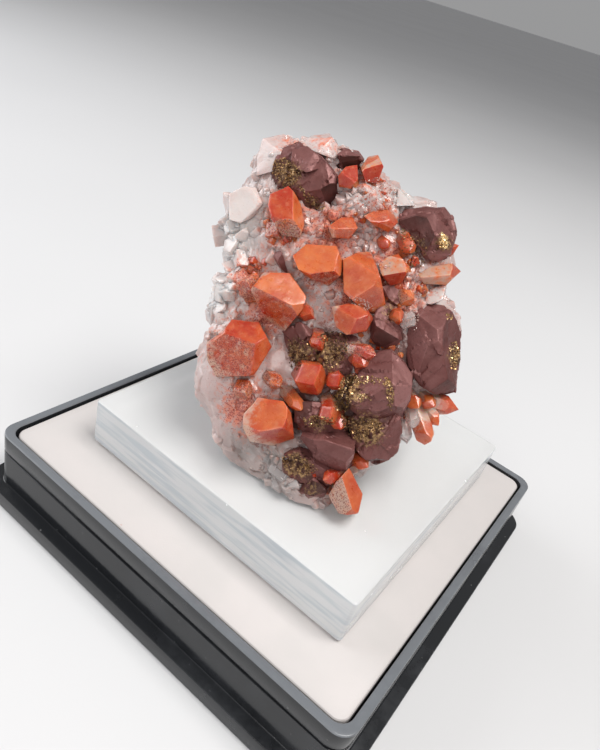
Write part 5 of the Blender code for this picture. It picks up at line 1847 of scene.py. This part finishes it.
def broken_steps(points: np.ndarray, size: float, tilt: float, step: float,
                 seed: int) -> np.ndarray:
    """Gives each point a height so that the surface breaks up into small flat faces.

    Args:
        points: the surface's points, one row each.
        size: about how wide a face is.
        tilt: how much a face leans.
        step: how far faces stand above each other.
        seed: for the random numbers.

    Returns:
        The heights.
    """
    dice = random.Random(seed)
    low, high = points.min(axis=0), points.max(axis=0)
    counts = [int((top - bottom) / size) + 2 for bottom, top in zip(low, high)]
    seeds = [
        Vector([
            bottom + (place + dice.uniform(-0.5, 0.5)) * size
            for bottom, place in zip(low, (i, j, k))
        ])
        for i in range(counts[0]) for j in range(counts[1]) for k in range(counts[2])
    ]
    leans = [Vector([dice.uniform(-tilt, tilt) for _ in range(3)]) for _ in seeds]
    lifts = [dice.uniform(-step, step) for _ in seeds]
    tree = KDTree(len(seeds))
    for number, place in enumerate(seeds):
        tree.insert(place, number)
    tree.balance()
    heights = np.zeros(len(points))
    for number, point in enumerate(points):
        place, nearest, _ = tree.find(point)
        heights[number] = (Vector(point) - place).dot(leans[nearest]) + lifts[nearest]
    return heights


def terraces(points: np.ndarray, pitch: float, step: float, dice: random.Random) -> np.ndarray:
    """Gives each point a height so that the surface steps up and down along straight lines.

    Args:
        points: the surface's points, one row each.
        pitch: how far the steps are apart.
        step: the largest height of a step.
        dice: gives the random numbers.

    Returns:
        The heights.
    """
    along = np.array([dice.uniform(-1, 1), dice.uniform(-1, 1), dice.uniform(-0.6, 0.6)])
    bands = np.floor(points @ (along / np.linalg.norm(along)) / pitch).astype(int)
    bands -= bands.min()
    lifts = np.array([dice.uniform(-step, step) for _ in range(bands.max() + 1)])
    return lifts[bands]


@dataclass
class ChalcopyriteCrystals:
    """The tarnished chalcopyrite crystals, one piece for each group that holds together."""

    groups: dict[str, tuple[DrawnCrystal, ...]] = field(default_factory=lambda: CHALCOPYRITE)
    edge: float = 0.06
    fine: float = 0.34
    chips: int = 6
    seed: int = 23
    shapes: dict[str, bmesh.types.BMesh] = field(default_factory=dict)

    def grow(self) -> None:
        """Makes every group in picture plane millimetres."""
        dice = random.Random(self.seed)
        for name, rows in self.groups.items():
            self.shapes[name] = joined([self.crystal(row, dice) for row in rows])

    def crystal(self, row: DrawnCrystal, dice: random.Random) -> bmesh.types.BMesh:
        """Makes one crystal with growth steps and pits."""
        shape = row.shape()
        across = [corner[0] for corner in row.outline]
        depth = 0.11 * (max(across) - min(across))
        work_over(shape, dice, self.chips, depth, self.edge, self.fine)
        normals = facings(shape)
        points = places(shape)
        rough = sum(patch.over(points[:, 0], points[:, 1]) for patch in ROUGH_PATCHES)
        rough = np.clip(rough, 0.0, 1.0)
        steps = broken_steps(points, 2.6, 0.10, 0.03, 9)
        steps += terraces(points, 3.4, 0.16, dice) + terraces(points, 1.9, 0.06, dice)
        steps += broken_steps(points, 0.55, 0.3, 0.16, 8) * rough
        move_to(shape, points + normals * steps[:, None])
        press_flat(shape)
        self.mark(shape)
        return shape

    def mark(self, shape: bmesh.types.BMesh) -> None:
        """Writes how much of the surface is druse."""
        layer = shape.verts.layers.float.new("druse")
        for vertex in shape.verts:
            across, up = PicturePlane.seen(vertex.co)
            place = np.array(across), np.array(up)
            here = sum(float(patch.over(*place)) for patch in ROUGH_PATCHES)
            vertex[layer] = min(1.0, here)

    def dress(self, finishes: Finishes) -> None:
        """Turns the shapes into pieces, each in the place of its own node."""
        for node, shape in self.shapes.items():
            shape.transform(PicturePlane.to_frame())
            name = node.replace("chalcopyrite_", "tarnished_")
            piece = new_piece(
                name, shape, finishes.chalcopyrite, Slot.CHALCOPYRITE, BROKEN_ANGLE
            )
            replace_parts(piece, node)


def matrix_points(surface: BVHTree, seed: int = 77) -> list[SmallCrystal]:
    """Scatters small quartz points over the matrix, on its face and round its sides and back.

    Args:
        surface: the matrix.
        seed: for the random numbers.

    Returns:
        A row for each point.
    """
    dice = random.Random(seed)
    rows = []
    for region in POINT_REGIONS:
        for place, normal in Scatter(surface).hits(region, dice):
            if not on_chalcopyrite(place):
                radius = region.size * dice.uniform(0.6, 1.3)
                rows.append(point_on(place, normal, radius, dice))
    middle = Vector((-0.5, -1.0, -9.0))
    for _ in range(BACK_POINTS):
        way = PicturePlane.facing(dice.uniform(0, 360), dice.uniform(-75, 10))
        place, normal, _, _ = surface.ray_cast(middle + way * 60.0, -way)
        if place is None or (PicturePlane.to_frame() @ place).z < LOWEST_POINT:
            continue
        outward = normal if normal.dot(way) > 0 else -normal
        rows.append(point_on(place, outward, dice.uniform(0.45, 1.25), dice))
    return rows


def on_chalcopyrite(place: Vector) -> bool:
    """Tells whether a place on the face is covered by a chalcopyrite crystal."""
    across, up = PicturePlane.seen(place)
    return any(inside(row.outline, across, up) for row in DARK_ROWS)


def point_on(place: Vector, normal: Vector, radius: float, dice: random.Random) -> SmallCrystal:
    """Stands a small quartz point on a surface, leaning a little.

    Args:
        place: where it grows from.
        normal: the surface normal there.
        radius: its radius.
        dice: seeded random numbers.

    Returns:
        Its row.
    """
    lean = Vector((dice.uniform(-0.6, 0.6), dice.uniform(-0.6, 0.6), dice.uniform(-0.3, 0.5)))
    axis = (normal + lean).normalized()
    tip = place + axis * radius * dice.uniform(0.5, 1.3)
    across, up = PicturePlane.seen(tip)
    heading, rise = math.degrees(math.atan2(axis.y, axis.x)), math.degrees(math.asin(axis.z))
    habit = dice.choice((POINT, THREE, CHISEL))
    turn = dice.uniform(0, 60)
    return SmallCrystal(
        across, up, tip.z, heading, rise, radius, radius * 3.4, turn, habit, tint=0.2, speckle=0.2
    )


@dataclass
class Scatter:
    """Small grains on the surfaces that the viewer sees, placed by lines of sight."""

    surface: BVHTree
    shapes: dict[str, bmesh.types.BMesh] = field(default_factory=dict)

    def hits(self, region: Region, dice: random.Random) -> list[tuple[Vector, Vector]]:
        """Finds places for grains.

        Args:
            region: the area.
            dice: seeded random numbers.

        Returns:
            The place and the surface normal of each.
        """
        eye = PicturePlane.eye
        across = [corner[0] for corner in region.outline]
        up = [corner[1] for corner in region.outline]
        found = []
        for _ in range(region.count * 8):
            if len(found) == region.count:
                break
            a, u = dice.uniform(min(across), max(across)), dice.uniform(min(up), max(up))
            if not inside(region.outline, a, u):
                continue
            sight = (Vector((a, u, 0.0)) - eye).normalized()
            place, normal, _, _ = self.surface.ray_cast(eye, sight)
            if place is not None and normal is not None:
                found.append((place, normal if normal.dot(eye - place) > 0 else -normal))
        return found

    def grains(self, name: str, regions: tuple[Region, ...], seed: int) -> None:
        """Makes the grains of some regions as one shape.

        Args:
            name: the piece that they become.
            regions: where they lie.
            seed: for the random numbers.
        """
        dice = random.Random(seed)
        shape = bmesh.new()
        tone = shape.faces.layers.float.new("tone")
        for region in regions:
            for place, normal in self.hits(region, dice):
                turn = Matrix.Rotation(dice.uniform(0, math.tau), 4, Vector((
                    dice.uniform(-1, 1), dice.uniform(-1, 1), dice.uniform(-1, 1) + 0.01,
                )).normalized())
                size = region.size * dice.uniform(0.5, 1.35)
                scale = Matrix.Diagonal((size, size * dice.uniform(0.6, 1.0), size, 1.0))
                lifted = Matrix.Translation(place + normal * size * 0.1)
                made = bmesh.ops.create_cube(shape, size=1.0, matrix=lifted @ turn @ scale)
                own = min(1.0, max(0.0, region.tone + dice.uniform(-0.45, 0.45)))
                for face in {face for vertex in made["verts"] for face in vertex.link_faces}:
                    face[tone] = own
        self.shapes[name] = shape


@dataclass
class TrayBase:
    """The square tray, the white pad that lies in it and the clear block on the pad."""

    flange_half: float = 27.8
    flange_height: float = 2.2
    wall_half: float = 26.3
    wall_top: float = 9.7
    recess_half: float = 25.3
    recess_floor: float = 6.1
    pad_half: float = 25.0
    pad_top: float = 9.4
    pad_under: float = 6.4
    block_half: float = 19.35
    block_low: float = 9.7
    block_top: float = 15.75
    block_centre: tuple[float, float] = (0.66, 0.95)
    corner_steps: int = 10
    flange_radius: float = 3.2
    wall_radius: float = 2.0
    groove_low: float = 6.9
    groove_top: float = 7.3
    groove_depth: float = 0.3
    groove_radius: float = 1.8
    recess_radius: float = 1.6
    tray_edge: float = 0.14
    pad_radius: float = 1.4
    pad_edge: float = 0.3
    block_radius: float = 0.5
    block_edge: float = 0.22

    def rounded_plate(self, half: float, radius: float,
                      height: float) -> tuple[bmesh.types.BMesh, bmesh.types.BMFace]:
        """Makes a flat square face with rounded corners.

        Args:
            half: half its side.
            radius: its corner radius.
            height: how high it lies.

        Returns:
            The mesh and the face.
        """
        shape = bmesh.new()
        bmesh.ops.create_grid(shape, x_segments=1, y_segments=1, size=half)
        bmesh.ops.bevel(
            shape, geom=shape.verts[:], offset=radius, offset_type="OFFSET",
            segments=self.corner_steps, profile=0.5, affect="VERTICES", material=-1,
        )
        bmesh.ops.translate(shape, verts=shape.verts, vec=(0, 0, height))
        return shape, next(iter(shape.faces))

    def rise(self, shape: bmesh.types.BMesh, face: bmesh.types.BMFace, half: float,
             radius: float, height: float, before: tuple[float, float]) -> bmesh.types.BMFace:
        """Extrudes the top face to another size, corner radius and height.

        Args:
            shape: the mesh.
            face: its top face.
            half: half the new side.
            radius: the new corner radius.
            height: the new height.
            before: half the side and the corner radius of the face so far.

        Returns:
            The new top face.
        """
        loose = all(len(edge.link_faces) == 1 for edge in face.edges)
        raised = bmesh.ops.extrude_face_region(shape, geom=[face])["geom"]
        if face.is_valid and not loose:
            bmesh.ops.delete(shape, geom=[face], context="FACES_ONLY")
        core = before[0] - before[1]
        for vertex in [item for item in raised if isinstance(item, bmesh.types.BMVert)]:
            sign = Vector((math.copysign(1, vertex.co.x), math.copysign(1, vertex.co.y)))
            arm = (vertex.co.xy - sign * core) / before[1]
            vertex.co.xy = sign * (half - radius) + arm * radius
            vertex.co.z = height
        return next(item for item in raised if isinstance(item, bmesh.types.BMFace))

    def walk(self, stages: tuple[tuple[float, float, float], ...],
             edge: float) -> bmesh.types.BMesh:
        """Makes a closed square body from its stages, bottom first, and rounds its sharp edges.

        Args:
            stages: half side, corner radius and height of each stage.
            edge: how wide its edges are rounded.

        Returns:
            The mesh in millimetres.
        """
        half, radius, height = stages[0]
        shape, top = self.rounded_plate(half, radius, height)
        for stage in stages[1:]:
            top = self.rise(shape, top, *stage, (half, radius))
            half, radius, _ = stage
        bmesh.ops.remove_doubles(shape, verts=shape.verts, dist=1e-4)
        bmesh.ops.recalc_face_normals(shape, faces=shape.faces)
        sharp = [
            line for line in shape.edges
            if len(line.link_faces) == 2 and line.calc_face_angle(0) > math.radians(40)
        ]
        soften_edges(shape, sharp, edge, 3)
        return shape

    def make_tray(self, finishes: Finishes) -> None:
        """Makes the tray: flange, wall with a narrow groove, rim and recess."""
        flange = self.flange_half, self.flange_radius
        wall = self.wall_half, self.wall_radius
        groove = self.wall_half - self.groove_depth, self.groove_radius
        recess = self.recess_half, self.recess_radius
        shape = self.walk((
            (*flange, 0.0), (*flange, self.flange_height),
            (*wall, self.flange_height), (*wall, self.groove_low),
            (*groove, self.groove_low), (*groove, self.groove_top),
            (*wall, self.groove_top), (*wall, self.wall_top),
            (*recess, self.wall_top), (*recess, self.recess_floor),
        ), self.tray_edge)
        # the rim's top faces get the painted highlight
        rim = shape.faces.layers.float.new("rim")
        for face in shape.faces:
            face[rim] = 1.0 if face.calc_center_median().z > self.wall_top - 0.16 else 0.0
        shape.transform(Matrix.Scale(MM, 4))
        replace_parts(new_piece("tray_body", shape, finishes.tray, Slot.TRAY), "tray")

    def make_pad(self, finishes: Finishes) -> None:
        """Makes the white pad with its soft edges."""
        side = self.pad_half, self.pad_radius
        shape = self.walk(((*side, self.pad_under), (*side, self.pad_top)), self.pad_edge)
        shape.transform(Matrix.Scale(MM, 4))
        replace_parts(new_piece("white_pad", shape, finishes.liner, Slot.LINER), "liner")

    def make_block(self, finishes: Finishes) -> None:
        """Makes the clear block with crisp edges, and marks its sawn sides."""
        side = self.block_half, self.block_radius
        shape = self.walk(((*side, self.block_low), (*side, self.block_top)), self.block_edge)
        bmesh.ops.translate(shape, verts=shape.verts, vec=(*self.block_centre, 0.0))
        shape.normal_update()
        sawn = shape.faces.layers.float.new("sawn")
        for face in shape.faces:
            face[sawn] = 1.0 if abs(face.normal.z) < 0.3 else 0.0
        shape.transform(Matrix.Scale(MM, 4))
        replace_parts(new_piece("acrylic_block", shape, finishes.acrylic, Slot.BLOCK), "clear_block")

    def build(self, finishes: Finishes) -> None:
        """Makes the whole base."""
        self.make_tray(finishes)
        self.make_pad(finishes)
        self.make_block(finishes)


@dataclass
class Studio:
    """The pale floor, the soft lights and the camera."""

    camera_place: Vector = field(default_factory=lambda: Vector((0.02852, -0.06056, 0.0651)))
    lens: float = 30.54
    nearest: float = 0.002
    floor_half: float = 8.0
    room_strength: float = 0.32
    aim: tuple[float, float, float] = (0.0, 0.0, 0.03)

    def light(self, name: str, place: tuple[float, float, float], size: float, watts: float,
              colour: Colour) -> None:
        """Adds a soft square light.

        Args:
            name: its name.
            place: where it hangs, in metres.
            size: its side.
            watts: its power.
            colour: its colour.
        """
        lamp = bpy.data.lights.new(name, "AREA")
        lamp.size = size
        lamp.energy = watts
        lamp.color = colour
        thing = bpy.data.objects.new(name, lamp)
        thing.location = place
        way = Vector(self.aim) - Vector(place)
        thing.rotation_euler = way.to_track_quat("-Z", "Y").to_euler()
        bpy.context.scene.collection.objects.link(thing)

    def floor(self) -> None:
        """Adds the pale floor."""
        shape = bmesh.new()
        bmesh.ops.create_grid(shape, x_segments=1, y_segments=1, size=self.floor_half)
        mesh = bpy.data.meshes.new("floor")
        shape.to_mesh(mesh)
        shape.free()
        material, make, shader = new_material("floor_pale")
        place = make.add("ShaderNodeTexCoord").outputs["Object"]
        cloud = make.spread(make.clouds(place, 6.0), 0.3, 0.7)
        colour = make.mix(cloud, (0.60, 0.60, 0.61), (0.63, 0.63, 0.64))
        material.node_tree.links.new(colour, shader.inputs["Base Color"])
        shader.inputs["Roughness"].default_value = 0.8
        mesh.materials.append(material)
        thing = bpy.data.objects.new("floor", mesh)
        bpy.context.scene.collection.objects.link(thing)

    def set_up(self) -> None:
        """Makes everything around the object."""
        scene = bpy.context.scene
        self.floor()
        self.light("key", (0.16, 0.02, 0.42), 0.22, 1.9, (1.0, 0.98, 0.95))
        self.light("window", (-0.36, -0.12, 0.20), 0.30, 1.1, (0.96, 0.98, 1.0))
        self.light("front", (0.12, -0.42, 0.22), 0.30, 0.7, (1.0, 0.99, 0.98))
        world = bpy.data.worlds.new("soft_room")
        world.use_nodes = True
        back = world.node_tree.nodes["Background"]
        back.inputs["Color"].default_value = (0.99, 0.99, 1.0, 1.0)
        back.inputs["Strength"].default_value = self.room_strength
        scene.world = world
        scene.view_settings.view_transform = "Standard"
        lens = bpy.data.cameras.new("camera")
        lens.lens = self.lens
        lens.clip_start = self.nearest
        camera = bpy.data.objects.new("camera", lens)
        plane = PicturePlane.to_frame().to_3x3().normalized().to_4x4()
        camera.matrix_world = Matrix.Translation(self.camera_place) @ plane
        scene.collection.objects.link(camera)
        scene.camera = camera


def main() -> None:
    """Builds the object piece by piece."""
    logging.basicConfig(level=logging.INFO, format="%(name)s %(message)s")
    finishes = Finishes.make()
    TrayBase().build(finishes)
    matrix = QuartzMatrix()
    matrix.grow()
    quartz = QuartzCrystals()
    quartz.grow(BVHTree.FromBMesh(matrix.shape))
    dark = ChalcopyriteCrystals()
    dark.grow()
    seen = joined([matrix.shape, *quartz.shapes.values(), *dark.shapes.values()], keep=True)
    scatter = Scatter(BVHTree.FromBMesh(seen))
    seen.free()
    scatter.grains("golden_druse", GOLDEN_REGIONS, 31)
    scatter.grains("quartz_sugar", SUGAR_REGIONS, 32)
    matrix.dress(finishes)
    quartz.dress(finishes)
    dark.dress(finishes)
    looks = {
        "golden_druse": (finishes.druse, Slot.CHALCOPYRITE),
        "quartz_sugar": (finishes.sugar, Slot.QUARTZ),
    }
    for name, shape in scatter.shapes.items():
        shape.transform(PicturePlane.to_frame())
        new_piece(name, shape, *looks[name])
    Studio().set_up()


if __name__ == "__main__":
    main()
